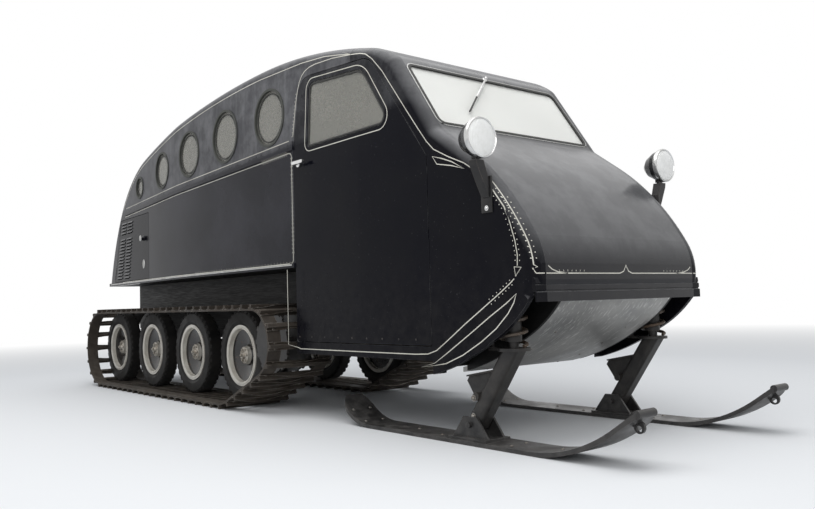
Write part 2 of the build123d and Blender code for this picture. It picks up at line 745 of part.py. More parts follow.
        add(side_prism(gap_points, 4 * (ENGINE_DOOR_RADIUS,), near, far), mode=Mode.INTERSECT)
        with BuildSketch(skin_plane):
            with Locations(*[(x, y - LOUVRE_SLOT / 2) for x, y in louvre_spots]):
                Rectangle(LOUVRE_LENGTH - 2 * LOUVRE_DEPTH, LOUVRE_SLOT)
        extrude(amount=2 * WALL, both=True, mode=Mode.SUBTRACT)
        add(hoods.part)
        with BuildSketch(skin_plane):
            with Locations((-side * (LATCH_X - ENGINE_DOOR_FRONT_X), LATCH_Z - ENGINE_DOOR_BOTTOM_Z)):
                Circle(LATCH_RADIUS)
        extrude(amount=LATCH_HEIGHT, taper=LATCH_TAPER)
        add(rear_hinge[0])
    finish(engine_door.part, f"{name}_engine_door")

    # Porthole rims and panes
    pane_ring = plan_block(WALL / 2 - PORTHOLE_GLASS / 2) - plan_block(WALL / 2 + PORTHOLE_GLASS / 2)
    for x, z, radius in PORTHOLES:
        rim = side_round(x, z, radius + PORTHOLE_RIM - FIT, near, far)
        rim = (rim - side_round(x, z, radius, near, far)) & side_ring
        rim_solids += rim.solids()
        pane = side_round(x, z, radius - FIT, near, far) & pane_ring
        pane_solids += pane.solids()

finish(Compound(children=rim_solids), "porthole_rims")
finish(Compound(children=pane_solids), "porthole_glass")

# Body tub: floor, walls between the tracks, shelves over them, foot-well, recesses and bulkheads
with BuildPart() as shelf:
    add(shell_inner)
    add(
        side_box(BODY_REAR_X, FOOTWELL_X, -HALF_WIDTH, HALF_WIDTH, SKIRT_Z, SKIRT_Z + TUB_WALL),
        mode=Mode.INTERSECT,
    )
    aisle = TUB_HALF_WIDTH - TUB_WALL
    add(
        side_box(TUB_REAR_X + TUB_WALL, FOOTWELL_X + 1, -aisle, aisle, 0, ROOF_Z),
        mode=Mode.SUBTRACT,
    )

with BuildPart() as recess:
    for side in SIDES.values():
        wall_y = side * (RECESS_Y + TUB_WALL)
        low_y, high_y = sorted((side * RECESS_Y, wall_y))
        side_wall = shell_outer & side_box(
            RECESS_REAR_X, NOSE_X, low_y, high_y, BELLY_Z, NOSE_BOTTOM_Z
        )
        side_wall += shell_inner & side_box(
            RECESS_REAR_X, NOSE_X, low_y, high_y, NOSE_BOTTOM_Z, RECESS_TOP_Z
        )
        side_wall -= side_box(
            TIE_ROD_X - 2 * TIE_ROD_RADIUS, TIE_ROD_X + 3 * TIE_ROD_RADIUS,
            low_y, high_y, TIE_ROD_Z - 2 * TIE_ROD_RADIUS, TIE_ROD_Z + 2 * TIE_ROD_RADIUS,
        )
        add(side_wall)
        low_y, high_y = sorted((wall_y, side * HALF_WIDTH))
        add(
            shell_inner
            & side_box(
                RECESS_REAR_X, NOSE_X, low_y, high_y, RECESS_TOP_Z - TUB_WALL, RECESS_TOP_Z
            )
        )
        add(
            shell_inner
            & side_box(
                RECESS_REAR_X, RECESS_REAR_X + TUB_WALL, low_y, high_y, BELLY_Z, RECESS_TOP_Z
            )
        )

with BuildPart() as front_floor:
    add(shell_inner)
    add(
        side_box(FOOTWELL_X, RECESS_REAR_X, -HALF_WIDTH, HALF_WIDTH, SILL_Z, SILL_Z + TUB_WALL),
        mode=Mode.INTERSECT,
    )

with BuildPart() as foot_wall:
    add(plan_block(WALL))
    add(
        side_box(FOOTWELL_X - TUB_WALL, FOOTWELL_X, -HALF_WIDTH, HALF_WIDTH, SILL_Z, SKIRT_Z),
        mode=Mode.INTERSECT,
    )
    add(
        side_box(
            FOOTWELL_X - TUB_WALL, FOOTWELL_X, -aisle, aisle, TUB_FLOOR_Z + TUB_WALL, SKIRT_Z
        ),
        mode=Mode.SUBTRACT,
    )

with BuildPart() as body_tub:
    add(
        side_box(
            TUB_REAR_X, FOOTWELL_X, -TUB_HALF_WIDTH, TUB_HALF_WIDTH,
            TUB_FLOOR_Z, TUB_FLOOR_Z + TUB_WALL,
        )
    )
    add(
        side_box(TUB_REAR_X, TUB_REAR_X + TUB_WALL, -TUB_HALF_WIDTH, TUB_HALF_WIDTH, TUB_FLOOR_Z, SKIRT_Z)
    )
    for side in SIDES.values():
        low_y, high_y = sorted((side * TUB_HALF_WIDTH, side * aisle))
        add(side_box(TUB_REAR_X, FOOTWELL_X, low_y, high_y, TUB_FLOOR_Z, SKIRT_Z + TUB_WALL))
    add(shelf.part)
    add(foot_wall.part)
    add(front_floor.part)
    add(recess.part)
    with BuildSketch(Plane.XZ.offset(RECESS_Y)):
        with BuildLine():
            Polyline(
                (RECESS_REAR_X, SILL_Z), (RECESS_REAR_X + TUB_WALL, SILL_Z),
                (FIREWALL_X + TUB_WALL, RECESS_TOP_Z), (FIREWALL_X, RECESS_TOP_Z),
                (RECESS_REAR_X, SILL_Z + TUB_WALL), close=True,
            )
        make_face()
    extrude(amount=-2 * RECESS_Y)
    add(
        shell_inner
        & side_box(
            FIREWALL_X, FIREWALL_X + TUB_WALL, -HALF_WIDTH, HALF_WIDTH, RECESS_TOP_Z, ROOF_Z
        )
    )
    add(
        shell_inner
        & side_box(
            BULKHEAD_X, BULKHEAD_X + TUB_WALL, -HALF_WIDTH, HALF_WIDTH, SKIRT_Z, BULKHEAD_TOP_Z
        )
    )
    add(
        side_box(
            BULKHEAD_X, BULKHEAD_X + TUB_WALL, -aisle, aisle,
            TUB_FLOOR_Z + TUB_WALL, SKIRT_Z + TUB_WALL,
        )
    )
finish(body_tub.part, "body_tub")

# Engine with its radiator and gearbox, as one plain block
with BuildPart() as engine_block:
    add(
        side_box(
            ENGINE_REAR_X, ENGINE_REAR_X + ENGINE_LENGTH, -ENGINE_WIDTH / 2, ENGINE_WIDTH / 2,
            TUB_FLOOR_Z + TUB_WALL, TUB_FLOOR_Z + TUB_WALL + ENGINE_HEIGHT,
        )
    )
    chamfer(engine_block.edges().filter_by(Axis.X).group_by(Axis.Z)[-1], length=ENGINE_CHAMFER)
finish(engine_block.part, "engine_block")

# Frame: two channels under the floor, cross members and the rear tow lug
with BuildPart() as frame_rails:
    rail_top = TUB_FLOOR_Z
    rail_low = rail_top - RAIL_HEIGHT
    for side in SIDES.values():
        low_y, high_y = sorted((side * (RAIL_Y - RAIL_WIDTH / 2), side * (RAIL_Y + RAIL_WIDTH / 2)))
        add(side_box(RAIL_REAR_X, RAIL_FRONT_X, low_y, high_y, rail_low, rail_top))
        low_y, high_y = sorted(
            (side * (RAIL_Y - RAIL_WIDTH / 2), side * (RAIL_Y + RAIL_WIDTH / 2 - RAIL_WALL))
        )
        add(
            side_box(
                RAIL_REAR_X, RAIL_FRONT_X, low_y, high_y, rail_low + RAIL_WALL, rail_top - RAIL_WALL
            ),
            mode=Mode.SUBTRACT,
        )
    inner_y = RAIL_Y + RAIL_WIDTH / 2 - RAIL_WALL
    for x in CROSS_MEMBER_XS:
        add(side_box(x, x + RAIL_WIDTH, -inner_y, inner_y, rail_low, rail_top))
    lug_z = rail_top - RAIL_HEIGHT / 2
    lug_x = RAIL_REAR_X - TOW_LUG_LENGTH + RAIL_HEIGHT / 2
    add(
        side_box(
            lug_x, RAIL_REAR_X, -TOW_LUG_THICKNESS / 2, TOW_LUG_THICKNESS / 2,
            rail_low, rail_top,
        )
    )
    add(side_round(lug_x, lug_z, RAIL_HEIGHT / 2, TOW_LUG_THICKNESS / 2, -TOW_LUG_THICKNESS / 2))
    add(
        side_round(lug_x, lug_z, TOW_BORE / 2, TOW_LUG_THICKNESS, -TOW_LUG_THICKNESS),
        mode=Mode.SUBTRACT,
    )
finish(frame_rails.part, "frame_rails")

# Road axles, each a tube hung on two leaf springs under the rails
axle_half = WHEEL_Y - HUB_INNER
with BuildPart() as road_axles:
    for x in WHEEL_XS:
        add(side_round(x, WHEEL_Z, AXLE_RADIUS, axle_half, -axle_half))
        for side in SIDES.values():
            low_y = side * RAIL_Y - SPRING_WIDTH / 2
            high_y = side * RAIL_Y + SPRING_WIDTH / 2
            with BuildSketch(Plane.XZ.offset(-high_y)):
                with BuildLine():
                    eye = (x - SPRING_HALF, rail_low)
                    far_eye = (x + SPRING_HALF, rail_low)
                    sag = WHEEL_Z + AXLE_RADIUS
                    top = ThreePointArc(eye, (x, sag + SPRING_LEAF), far_eye)
                    Line(far_eye, (far_eye[0] - SPRING_LEAF, rail_low - SPRING_LEAF))
                    ThreePointArc(
                        (far_eye[0] - SPRING_LEAF, rail_low - SPRING_LEAF), (x, sag),
                        (eye[0] + SPRING_LEAF, rail_low - SPRING_LEAF),
                    )
                    Line((eye[0] + SPRING_LEAF, rail_low - SPRING_LEAF), eye)
                make_face()
            extrude(amount=high_y - low_y)
            add(
                side_box(
                    x - SPRING_WIDTH / 2, x + SPRING_WIDTH / 2, low_y, high_y,
                    WHEEL_Z, WHEEL_Z + AXLE_RADIUS + SPRING_LEAF / 2,
                )
            )
finish(road_axles.part, "road_axles")

# Wheel: dished disc in a flanged rim, with a hub plate
with BuildPart() as wheel:
    with BuildSketch(Plane.XY):
        with BuildLine():
            half = RIM_WIDTH / 2
            flange = RIM_RADIUS + RIM_FLANGE
            Polyline(
                (0, -HUB_INNER), (HUB_RADIUS, -HUB_INNER), (HUB_RADIUS, -HUB_FACE),
                (RIM_RADIUS - RIM_WALL, -half + HUB_FACE), (RIM_RADIUS - RIM_WALL, -half - RIM_LIP),
                (flange, -half - RIM_LIP),
                (flange, -half), (RIM_RADIUS, -half), (RIM_RADIUS, half), (flange, half),
                (flange, half + RIM_LIP), (RIM_RADIUS - RIM_WALL, half + RIM_LIP),
                (RIM_RADIUS - RIM_WALL - 4, HUB_FACE),
                (HUB_RADIUS + 24, -10), (HUB_RADIUS, 22), (20, 22), (16, 44), (0, 44), close=True,
            )
        make_face()
    revolve(axis=Axis.Y)

with BuildPart() as tyre:
    with BuildSketch(Plane.XY):
        with BuildLine():
            half = RIM_WIDTH / 2 - FIT
            bead = RIM_RADIUS + FIT
            lip = RIM_RADIUS + RIM_FLANGE + FIT
            wide = TYRE_WIDTH / 2
            Polyline(
                (bead, -half), (lip, -half), (lip + 26, -wide), (WHEEL_RADIUS - 16, -wide + 4),
                (WHEEL_RADIUS, -wide + 22), (WHEEL_RADIUS, wide - 22),
                (WHEEL_RADIUS - 16, wide - 4), (lip + 26, wide), (lip, half), (bead, half), close=True,
            )
        make_face()
    revolve(axis=Axis.Y)

disc_solids = []
for name, side in SIDES.items():
    facing = wheel.part if side > 0 else wheel.part.rotate(Axis.Z, 180)
    tyre_solids = []
    for x in WHEEL_XS:
        place = Pos(x, side * WHEEL_Y, WHEEL_Z)
        disc_solids += (place * facing).solids()
        tyre_solids += (place * tyre.part).solids()
    finish(Compound(children=tyre_solids), f"{name}_tyres")
finish(Compound(children=disc_solids), "wheel_discs")


def belt_loop(grow):
    """Side view of the belt's run round the wheels and the sprocket, grown outward."""
    first_x = WHEEL_XS[-1]
    last_x = WHEEL_XS[0]
    big = WHEEL_RADIUS + grow
    small = SPROCKET_RADIUS + grow
    span = hypot(SPROCKET_X - last_x, SPROCKET_Z - WHEEL_Z)
    rise = atan2(SPROCKET_Z - WHEEL_Z, SPROCKET_X - last_x)
    lean = rise + asin((WHEEL_RADIUS - SPROCKET_RADIUS) / span)
    off = (last_x + big * sin(lean), WHEEL_Z - big * cos(lean))
    on = (SPROCKET_X + small * sin(lean), SPROCKET_Z - small * cos(lean))
    half_lean = lean / 2
    turn = (last_x + big * sin(half_lean), WHEEL_Z - big * cos(half_lean))
    with BuildSketch(Plane.XZ) as loop:
        with BuildLine():
            Line((SPROCKET_X, SPROCKET_Z + small), (first_x, WHEEL_Z + big))
            ThreePointArc(
                (first_x, WHEEL_Z + big), (first_x - big, WHEEL_Z), (first_x, WHEEL_Z - big)
            )
            Line((first_x, WHEEL_Z - big), (last_x, WHEEL_Z - big))
            ThreePointArc((last_x, WHEEL_Z - big), turn, off)
            Line(off, on)
            ThreePointArc(on, (SPROCKET_X + small, SPROCKET_Z), (SPROCKET_X, SPROCKET_Z + small))
        make_face()
    return loop.sketch


# Tracks: two belts side by side, joined by cross links whose backs are the lugs
belt_back = belt_loop(FIT + BELT_THICKNESS)
belt_face = belt_loop(FIT)
belt_wire = belt_back.faces()[0].outer_wire()
lug_count = round(belt_wire.length / LUG_PITCH)
link_height = BELT_THICKNESS + LUG_HEIGHT
loop_middle = Vector((WHEEL_XS[-1] + SPROCKET_X) / 2, 0, WHEEL_Z)
for name, side in SIDES.items():
    low_y = side * WHEEL_Y - BELT_WIDTH / 2
    high_y = side * WHEEL_Y + BELT_WIDTH / 2
    with BuildPart() as links:
        with BuildSketch(Plane.XZ.offset(-high_y)):
            for n in range(lug_count):
                step = belt_wire.length * n / lug_count
                seat = belt_wire.position_at(step, position_mode=PositionMode.LENGTH)
                along = belt_wire.tangent_at(step, position_mode=PositionMode.LENGTH)
                out = Vector(-along.Z, 0, along.X)
                if out.dot(seat - loop_middle) < 0:
                    out = out * -1
                centre = seat + out * (LUG_HEIGHT - BELT_THICKNESS) / 2
                with Locations(Location((centre.X, centre.Z), degrees(atan2(along.Z, along.X)))):
                    Rectangle(LUG_WIDTH, link_height)
        extrude(amount=BELT_WIDTH)
    with BuildPart() as track:
        for band_y in (high_y, low_y + BAND_WIDTH):
            with BuildSketch(Plane.XZ.offset(-band_y)):
                add(belt_back)
                add(belt_face, mode=Mode.SUBTRACT)
            extrude(amount=BAND_WIDTH)
        add(links.part)
    finish(track.part, f"{name}_track")

# Drive axle: a tube hung from the floor, with two toothed discs in each track
with BuildPart() as drive_axle:
    reach = WHEEL_Y + SPROCKET_SPREAD + SPROCKET_DISC
    add(side_round(SPROCKET_X, SPROCKET_Z, DRIVE_AXLE_RADIUS, reach, -reach))
    for side in SIDES.values():
        for spread in (-SPROCKET_SPREAD, SPROCKET_SPREAD):
            disc_y = side * WHEEL_Y + spread + SPROCKET_DISC / 2
            with BuildSketch(Plane.XZ.offset(-disc_y)):
                with Locations((SPROCKET_X, SPROCKET_Z)):
                    Circle(SPROCKET_RADIUS - TOOTH_DEPTH)
                    with PolarLocations(SPROCKET_RADIUS - TOOTH_DEPTH, TOOTH_COUNT):
                        Rectangle(2 * TOOTH_DEPTH - 2 * FIT, TOOTH_WIDTH)
            extrude(amount=SPROCKET_DISC)
        hanger_y = side * HANGER_Y
        add(
            side_box(
                SPROCKET_X - 45, SPROCKET_X + 45, hanger_y - 12, hanger_y + 12,
                SPROCKET_Z, TUB_FLOOR_Z,
            )
        )
finish(drive_axle.part, "drive_axle")

# Skis, their saddles, legs, kingpin housings and springs
spring_solids = []
housing_solids = []
leg_run = KINGPIN_X - LEG_FOOT[0]
leg_rise = LEG_TOP_Z - LEG_FOOT[1]
for name, side in SIDES.items():
    middle_y = side * SKI_Y
    with BuildPart() as ski:
        with BuildSketch(Plane.XZ.offset(-middle_y - SKI_WIDTH / 2)):
            with BuildLine():
                sole = Line((SKI_FLAT_REAR_X, 0), (SKI_FLAT_FRONT_X, 0))
                toe = TangentArc(sole @ 1, (SKI_TIP_X, SKI_TIP_Z), tangent=(1, 0))
                heel = TangentArc(sole @ 0, (SKI_REAR_X, SKI_TAIL_Z), tangent=(-1, 0))
                top = Line(
                    (SKI_FLAT_REAR_X, SKI_THICKNESS), (SKI_FLAT_FRONT_X, SKI_THICKNESS)
                )
                toe_normal = (toe % 1).rotate(Axis.Z, 90)
                toe_top = TangentArc(
                    top @ 1, (toe @ 1) + toe_normal * SKI_THICKNESS, tangent=(1, 0)
                )
                heel_normal = (heel % 1).rotate(Axis.Z, -90)
                heel_top = TangentArc(
                    top @ 0, (heel @ 1) + heel_normal * SKI_THICKNESS, tangent=(-1, 0)
                )
                Line(toe @ 1, toe_top @ 1)
                Line(heel @ 1, heel_top @ 1)
            make_face()
        extrude(amount=SKI_WIDTH)
        with BuildSketch(Plane.XY):
            with Locations(((SKI_REAR_X + SKI_TIP_X) / 2, middle_y)):
                RectangleRounded(SKI_TIP_X - SKI_REAR_X, SKI_WIDTH, SKI_WIDTH / 2 - 6)
        extrude(amount=SKI_TIP_Z + 50, mode=Mode.INTERSECT)
        with BuildSketch(Plane.XY.offset(SKI_THICKNESS)):
            with Locations((LEG_FOOT[0], middle_y)):
                Rectangle(SADDLE_LENGTH, SKI_WIDTH - 30)
        extrude(amount=SADDLE_PLATE)
        for ear in (-1, 1):
            ear_y = middle_y + ear * (LEG_WIDTH / 2 + FIT + SADDLE_PLATE / 2)
            with BuildSketch(Plane.XZ.offset(-ear_y - SADDLE_PLATE / 2)):
                with BuildLine():
                    Polyline(
                        (LEG_FOOT[0] - SADDLE_LENGTH / 2, SKI_THICKNESS),
                        (LEG_FOOT[0] + SADDLE_LENGTH / 2, SKI_THICKNESS),
                        (LEG_FOOT[0] + 45, SADDLE_HEIGHT + 40),
                        (LEG_FOOT[0] - 45, SADDLE_HEIGHT + 40), close=True,
                    )
                make_face()
            extrude(amount=SADDLE_PLATE)
        tip_y = middle_y + TIP_BAR_WIDTH / 2
        add(
            side_round(
                SKI_TIP_X - TIP_BAR_RADIUS, SKI_TIP_Z, TIP_BAR_RADIUS, tip_y, tip_y - TIP_BAR_WIDTH
            )
        )
        eye_x = SKI_TIP_X - TIP_EYE_SETBACK
        eye_z = SKI_TIP_Z - TIP_EYE_DROP
        eye_y = middle_y + SADDLE_PLATE / 2
        add(side_round(eye_x, eye_z, TIP_EYE_RADIUS, eye_y, eye_y - SADDLE_PLATE))
        add(
            side_round(eye_x, eye_z - 6, TIP_EYE_RADIUS / 2, eye_y + 5, eye_y - SADDLE_PLATE - 5),
            mode=Mode.SUBTRACT,
        )
        pin_reach = LEG_WIDTH / 2 + FIT + SADDLE_PLATE + 16
        add(
            side_round(
                LEG_FOOT[0], LEG_FOOT[1], BOLT_RADIUS, middle_y + pin_reach, middle_y - pin_reach
            )
        )
    finish(ski.part, f"{name}_ski")

    leg_plane = Plane(
        origin=(LEG_FOOT[0], middle_y, LEG_FOOT[1]),
        x_dir=(0, 1, 0),
        z_dir=(leg_run, 0, leg_rise),
    )
    with BuildPart() as ski_leg:
        with BuildSketch(leg_plane):
            RectangleRounded(LEG_WIDTH, LEG_DEPTH, LEG_DEPTH * 0.3)
            with Locations((0, LEG_WALL)):
                Rectangle(LEG_WIDTH - 2 * LEG_WALL, LEG_DEPTH, mode=Mode.SUBTRACT)
        extrude(amount=hypot(leg_run, leg_rise) + LEG_DEPTH)
        add(
            side_box(
                LEG_FOOT[0] - 200, KINGPIN_X + 200, middle_y - LEG_WIDTH, middle_y + LEG_WIDTH,
                0, LEG_TOP_Z,
            ),
            mode=Mode.INTERSECT,
        )
        add(
            side_round(
                LEG_FOOT[0], LEG_FOOT[1], LEG_BOSS, middle_y + LEG_WIDTH / 2, middle_y - LEG_WIDTH / 2
            )
        )
        add(
            side_round(
                LEG_FOOT[0], LEG_FOOT[1], BOLT_RADIUS + FIT, middle_y + LEG_WIDTH, middle_y - LEG_WIDTH
            ),
            mode=Mode.SUBTRACT,
        )
        with BuildSketch(Plane.XZ.offset(-middle_y)):
            with BuildLine():
                Polyline(*GUSSET_OUTLINE, close=True)
            make_face()
        extrude(amount=GUSSET_THICKNESS / 2, both=True)
        with BuildSketch(Plane.XZ.offset(-middle_y)):
            with BuildLine():
                Polyline(*GUSSET_LIP, close=True)
            make_face()
        extrude(amount=GUSSET_FLANGE / 2, both=True)
        washer_reach = LEG_WIDTH / 2 + LEG_WALL
        add(
            side_round(
                GUSSET_BOLT[0], GUSSET_BOLT[1], BOLT_RADIUS + 6, middle_y + washer_reach,
                middle_y - washer_reach,
            )
        )
        with BuildSketch(Plane.XY.offset(LEG_TOP_Z)):
            with Locations((KINGPIN_X, middle_y)):
                Circle(SEAT_RADIUS)
        extrude(amount=SEAT_THICKNESS)
        with BuildSketch(Plane.XY.offset(LEG_TOP_Z)):
            with Locations((KINGPIN_X - STEER_ARM / 2, middle_y)):
                SlotCenterToCenter(STEER_ARM, ARM_WIDTH)
        extrude(amount=SEAT_THICKNESS)
        with BuildSketch(Plane.XY.offset(LEG_TOP_Z)):
            with Locations((KINGPIN_X - STEER_ARM, middle_y)):
                Circle(ARM_PIN_RADIUS)
        extrude(amount=TIE_ROD_Z + TIE_ROD_EYE_HEIGHT / 2 - LEG_TOP_Z)
        with BuildSketch(Plane.XY.offset(LEG_TOP_Z)):
            with Locations((KINGPIN_X, middle_y)):
                Circle(KINGPIN_RADIUS)
        extrude(amount=KINGPIN_TOP_Z - LEG_TOP_Z)
    finish(ski_leg.part, f"{name}_ski_leg")

    with BuildPart() as housing:
        with BuildSketch(Plane.XY.offset(HOUSING_LOW_Z)):
            with Locations((KINGPIN_X, middle_y)):
                Circle(HOUSING_RADIUS)
                Circle(KINGPIN_RADIUS + FIT, mode=Mode.SUBTRACT)
        extrude(amount=RECESS_TOP_Z - TUB_WALL - HOUSING_LOW_Z)
    housing_solids += housing.part.solids()

    spring_low = LEG_TOP_Z + SEAT_THICKNESS + SPRING_WIRE + FIT
    spring_high = RECESS_TOP_Z - TUB_WALL - SPRING_WIRE - FIT
    with BuildPart() as spring:
        with BuildLine():
            coil = Helix(
                pitch=(spring_high - spring_low) / SPRING_TURNS,
                height=spring_high - spring_low,
                radius=SPRING_COIL_RADIUS,
                center=(KINGPIN_X, middle_y, spring_low),
            )
        with BuildSketch(Plane(origin=coil @ 0, z_dir=coil % 0)):
            RegularPolygon(SPRING_WIRE, 6)
        sweep(is_frenet=True)
    spring_solids += spring.part.solids()

finish(Compound(children=housing_solids), "kingpin_housings")
finish(Compound(children=spring_solids), "ski_springs")

# Tie rod between the two steering arms
with BuildPart() as tie_rod:
    rod_end = SKI_Y - TIE_ROD_EYE + 2
    add(side_round(TIE_ROD_X, TIE_ROD_Z, TIE_ROD_RADIUS, rod_end, -rod_end))
    with BuildSketch(Plane.XY.offset(TIE_ROD_Z - TIE_ROD_EYE_HEIGHT / 2)):
        with Locations((TIE_ROD_X, SKI_Y), (TIE_ROD_X, -SKI_Y)):
            Circle(TIE_ROD_EYE)
    extrude(amount=TIE_ROD_EYE_HEIGHT)
    with BuildSketch(Plane.XY.offset(TIE_ROD_Z - TIE_ROD_EYE_HEIGHT / 2)):
        with Locations((TIE_ROD_X, SKI_Y), (TIE_ROD_X, -SKI_Y)):
            Circle(ARM_PIN_RADIUS + FIT)
    extrude(amount=TIE_ROD_EYE_HEIGHT, mode=Mode.SUBTRACT)
finish(tie_rod.part, "tie_rod")

# Steering column and wheel
column_run = COLUMN_FOOT[0] - COLUMN_HEAD[0]
column_drop = COLUMN_HEAD[2] - COLUMN_FOOT[2]
column_axis = (-column_run, 0, column_drop)
column_length = hypot(column_run, column_drop)
head_plane = Plane(origin=COLUMN_HEAD, x_dir=(0, 1, 0), z_dir=column_axis)
with BuildPart() as steering_column:
    with BuildSketch(head_plane.offset(-FIT)):
        Circle(COLUMN_RADIUS)
    extrude(amount=-column_length - COLUMN_RADIUS)
    split(
        bisect_by=Plane(
            origin=(RECESS_REAR_X, 0, SILL_Z + TUB_WALL),
            z_dir=(SILL_Z + TUB_WALL - RECESS_TOP_Z, 0, FIREWALL_X - RECESS_REAR_X),
        ),
        keep=Keep.TOP,
    )
finish(steering_column.part, "steering_column")

with BuildPart() as steering_wheel:
    with BuildSketch(head_plane):
        Circle(COLUMN_RADIUS + 14)
    extrude(amount=WHEEL_HUB_HEIGHT)
    spoke_plane = head_plane.offset(WHEEL_HUB_HEIGHT / 2)
    with BuildSketch(spoke_plane):
        with PolarLocations(HAND_WHEEL_RADIUS / 2, 3):
            Rectangle(HAND_WHEEL_RADIUS, 26)
    extrude(amount=6)
    rim_plane = Plane(origin=spoke_plane.origin, x_dir=(0, 1, 0), z_dir=head_plane.y_dir)
    with BuildSketch(rim_plane):
        with Locations((HAND_WHEEL_RADIUS, 0)):
            RegularPolygon(HAND_GRIP_RADIUS, 8)
    revolve(axis=Axis(head_plane.origin, head_plane.z_dir))
finish(steering_wheel.part, "steering_wheel")

# Seats: a bench across the cabin and a bench along each side over the tracks
with BuildPart() as front_seat:
    seat_back = SEAT_FRONT_X - SEAT_DEPTH
    with BuildSketch(Plane.XZ.offset(-SEAT_HALF_WIDTH)):
        with BuildLine():
            floor_top = SILL_Z + TUB_WALL
            Polyline(
                (seat_back, floor_top), (SEAT_FRONT_X - 60, floor_top),
                (SEAT_FRONT_X, SEAT_TOP_Z), (seat_back + SEAT_BACK, SEAT_TOP_Z),
                (seat_back + 20, SEAT_BACK_TOP_Z), (seat_back - 80, SEAT_BACK_TOP_Z), close=True,
            )
        make_face()
    extrude(amount=2 * SEAT_HALF_WIDTH)
    fillet(front_seat.edges().filter_by(Axis.Y).group_by(Axis.Z)[-1], radius=SEAT_SOFTNESS)
finish(front_seat.part, "front_seat")

bench_solids = []
for side in SIDES.values():
    low_y, high_y = sorted((side * (TUB_HALF_WIDTH - 10), side * BENCH_OUTER_Y))
    low_back, high_back = sorted((side * (BENCH_OUTER_Y - BENCH_BACK), side * BENCH_OUTER_Y))
    with BuildPart() as bench:
        add(
            side_box(
                BENCH_REAR_X, BENCH_FRONT_X, low_y, high_y,
                SKIRT_Z + TUB_WALL, SKIRT_Z + TUB_WALL + BENCH_CUSHION,
            )
        )
        add(
            side_box(
                BENCH_REAR_X, BENCH_FRONT_X, low_back, high_back,
                SKIRT_Z + TUB_WALL, BENCH_BACK_TOP_Z,
            )
        )
        fillet(bench.edges().filter_by(Axis.X).group_by(Axis.Z)[-1], radius=BENCH_SOFTNESS)
    bench_solids += bench.part.solids()
finish(Compound(children=bench_solids), "side_benches")

# Headlamps on brackets at the nose corners
lamp_solids = []
lens_solids = []
bracket_solids = []
for side in SIDES.values():
    lamp_y = side * LAMP_Y
    with BuildPart() as lamp:
        with BuildSketch(Plane.XZ.offset(-lamp_y)):
            with BuildLine():
                Line((LAMP_X, LAMP_Z), (LAMP_X, LAMP_Z + LAMP_RADIUS))
                Line((LAMP_X, LAMP_Z + LAMP_RADIUS), (LAMP_X - LAMP_RIM, LAMP_Z + LAMP_RADIUS))
                Polyline(
                    (LAMP_X - LAMP_RIM, LAMP_Z + LAMP_RADIUS),
                    (LAMP_X - LAMP_DEPTH * 0.4, LAMP_Z + LAMP_RADIUS * 0.9),
                    (LAMP_X - LAMP_DEPTH * 0.75, LAMP_Z + LAMP_RADIUS * 0.62),
                    (LAMP_X - LAMP_DEPTH * 0.95, LAMP_Z + LAMP_RADIUS * 0.3),
                    (LAMP_X - LAMP_DEPTH, LAMP_Z), (LAMP_X, LAMP_Z),
                )
            make_face()
        revolve(axis=Axis((0, lamp_y, LAMP_Z), (1, 0, 0)))
        with BuildSketch(Plane.YZ.offset(LAMP_X)):
            with Locations((lamp_y, LAMP_Z)):
                Circle(LENS_RADIUS)
        extrude(amount=-LENS_THICKNESS, mode=Mode.SUBTRACT)
        with BuildSketch(Plane.XY.offset(LAMP_STEM_Z)):
            with Locations((LAMP_X - LAMP_STEM_SETBACK, lamp_y)):
                Circle(LAMP_STEM_RADIUS)
        extrude(amount=LAMP_Z - LAMP_RADIUS * 0.5 - LAMP_STEM_Z)
    lamp_solids += lamp.part.solids()
    with BuildPart() as lens:
        with BuildSketch(Plane.YZ.offset(LAMP_X)):
            with Locations((lamp_y, LAMP_Z)):
                Circle(LENS_RADIUS - FIT)
        extrude(amount=-(LENS_THICKNESS - FIT))
    lens_solids += lens.part.solids()
    bracket_x = LAMP_X - LAMP_STEM_SETBACK
    skin_y = side_half_width(bracket_x)
    with BuildPart() as bracket:
        with BuildSketch(Plane.YZ.offset(bracket_x - BRACKET_WIDTH / 2)):
            with BuildLine():
                Polyline(
                    (side * (skin_y - WALL), BRACKET_LOW_Z), (side * (skin_y + 14), BRACKET_LOW_Z),
                    (side * (LAMP_Y + 20), LAMP_STEM_Z - 24), (side * (LAMP_Y + 24), LAMP_STEM_Z),
                    (side * (LAMP_Y - 24), LAMP_STEM_Z), (side * (skin_y + 10), BRACKET_TOP_Z),
                    (side * (skin_y - WALL), BRACKET_TOP_Z), close=True,
                )
            make_face()
        extrude(amount=BRACKET_WIDTH)
        add(plan_block(0), mode=Mode.SUBTRACT)
    bracket_solids += bracket.part.solids()
finish(Compound(children=lamp_solids), "headlamps")
finish(Compound(children=lens_solids), "headlamp_lenses")
finish(Compound(children=bracket_solids), "headlamp_brackets")

# Wiper hung from the brow over the middle of the pane
with BuildPart() as wiper:
    glass_face = -WALL / 2 + DOOR_GLASS / 2 + FIT
    pivot_x = SCREEN_HEIGHT / 2 + WIPER_PIVOT_RISE
    with BuildSketch(screen_plane):
        with Locations((pivot_x, 0)):
            Circle(WIPER_PIVOT_RADIUS)
    extrude(amount=WIPER_PIVOT_HEIGHT)
    with BuildSketch(screen_plane.offset(WIPER_PIVOT_HEIGHT - 6)):
        with Locations((pivot_x - WIPER_ARM / 2, 0)):
            Rectangle(WIPER_ARM, 8)
    extrude(amount=6)
    with BuildSketch(screen_plane.offset(glass_face)):
        with Locations((pivot_x - WIPER_ARM, 0)):
            Rectangle(WIPER_BLADE, 8)
    extrude(amount=WIPER_PIVOT_HEIGHT - glass_face)
finish(wiper.part, "wiper")
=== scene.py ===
import math

import bpy
from mathutils import Matrix, Vector


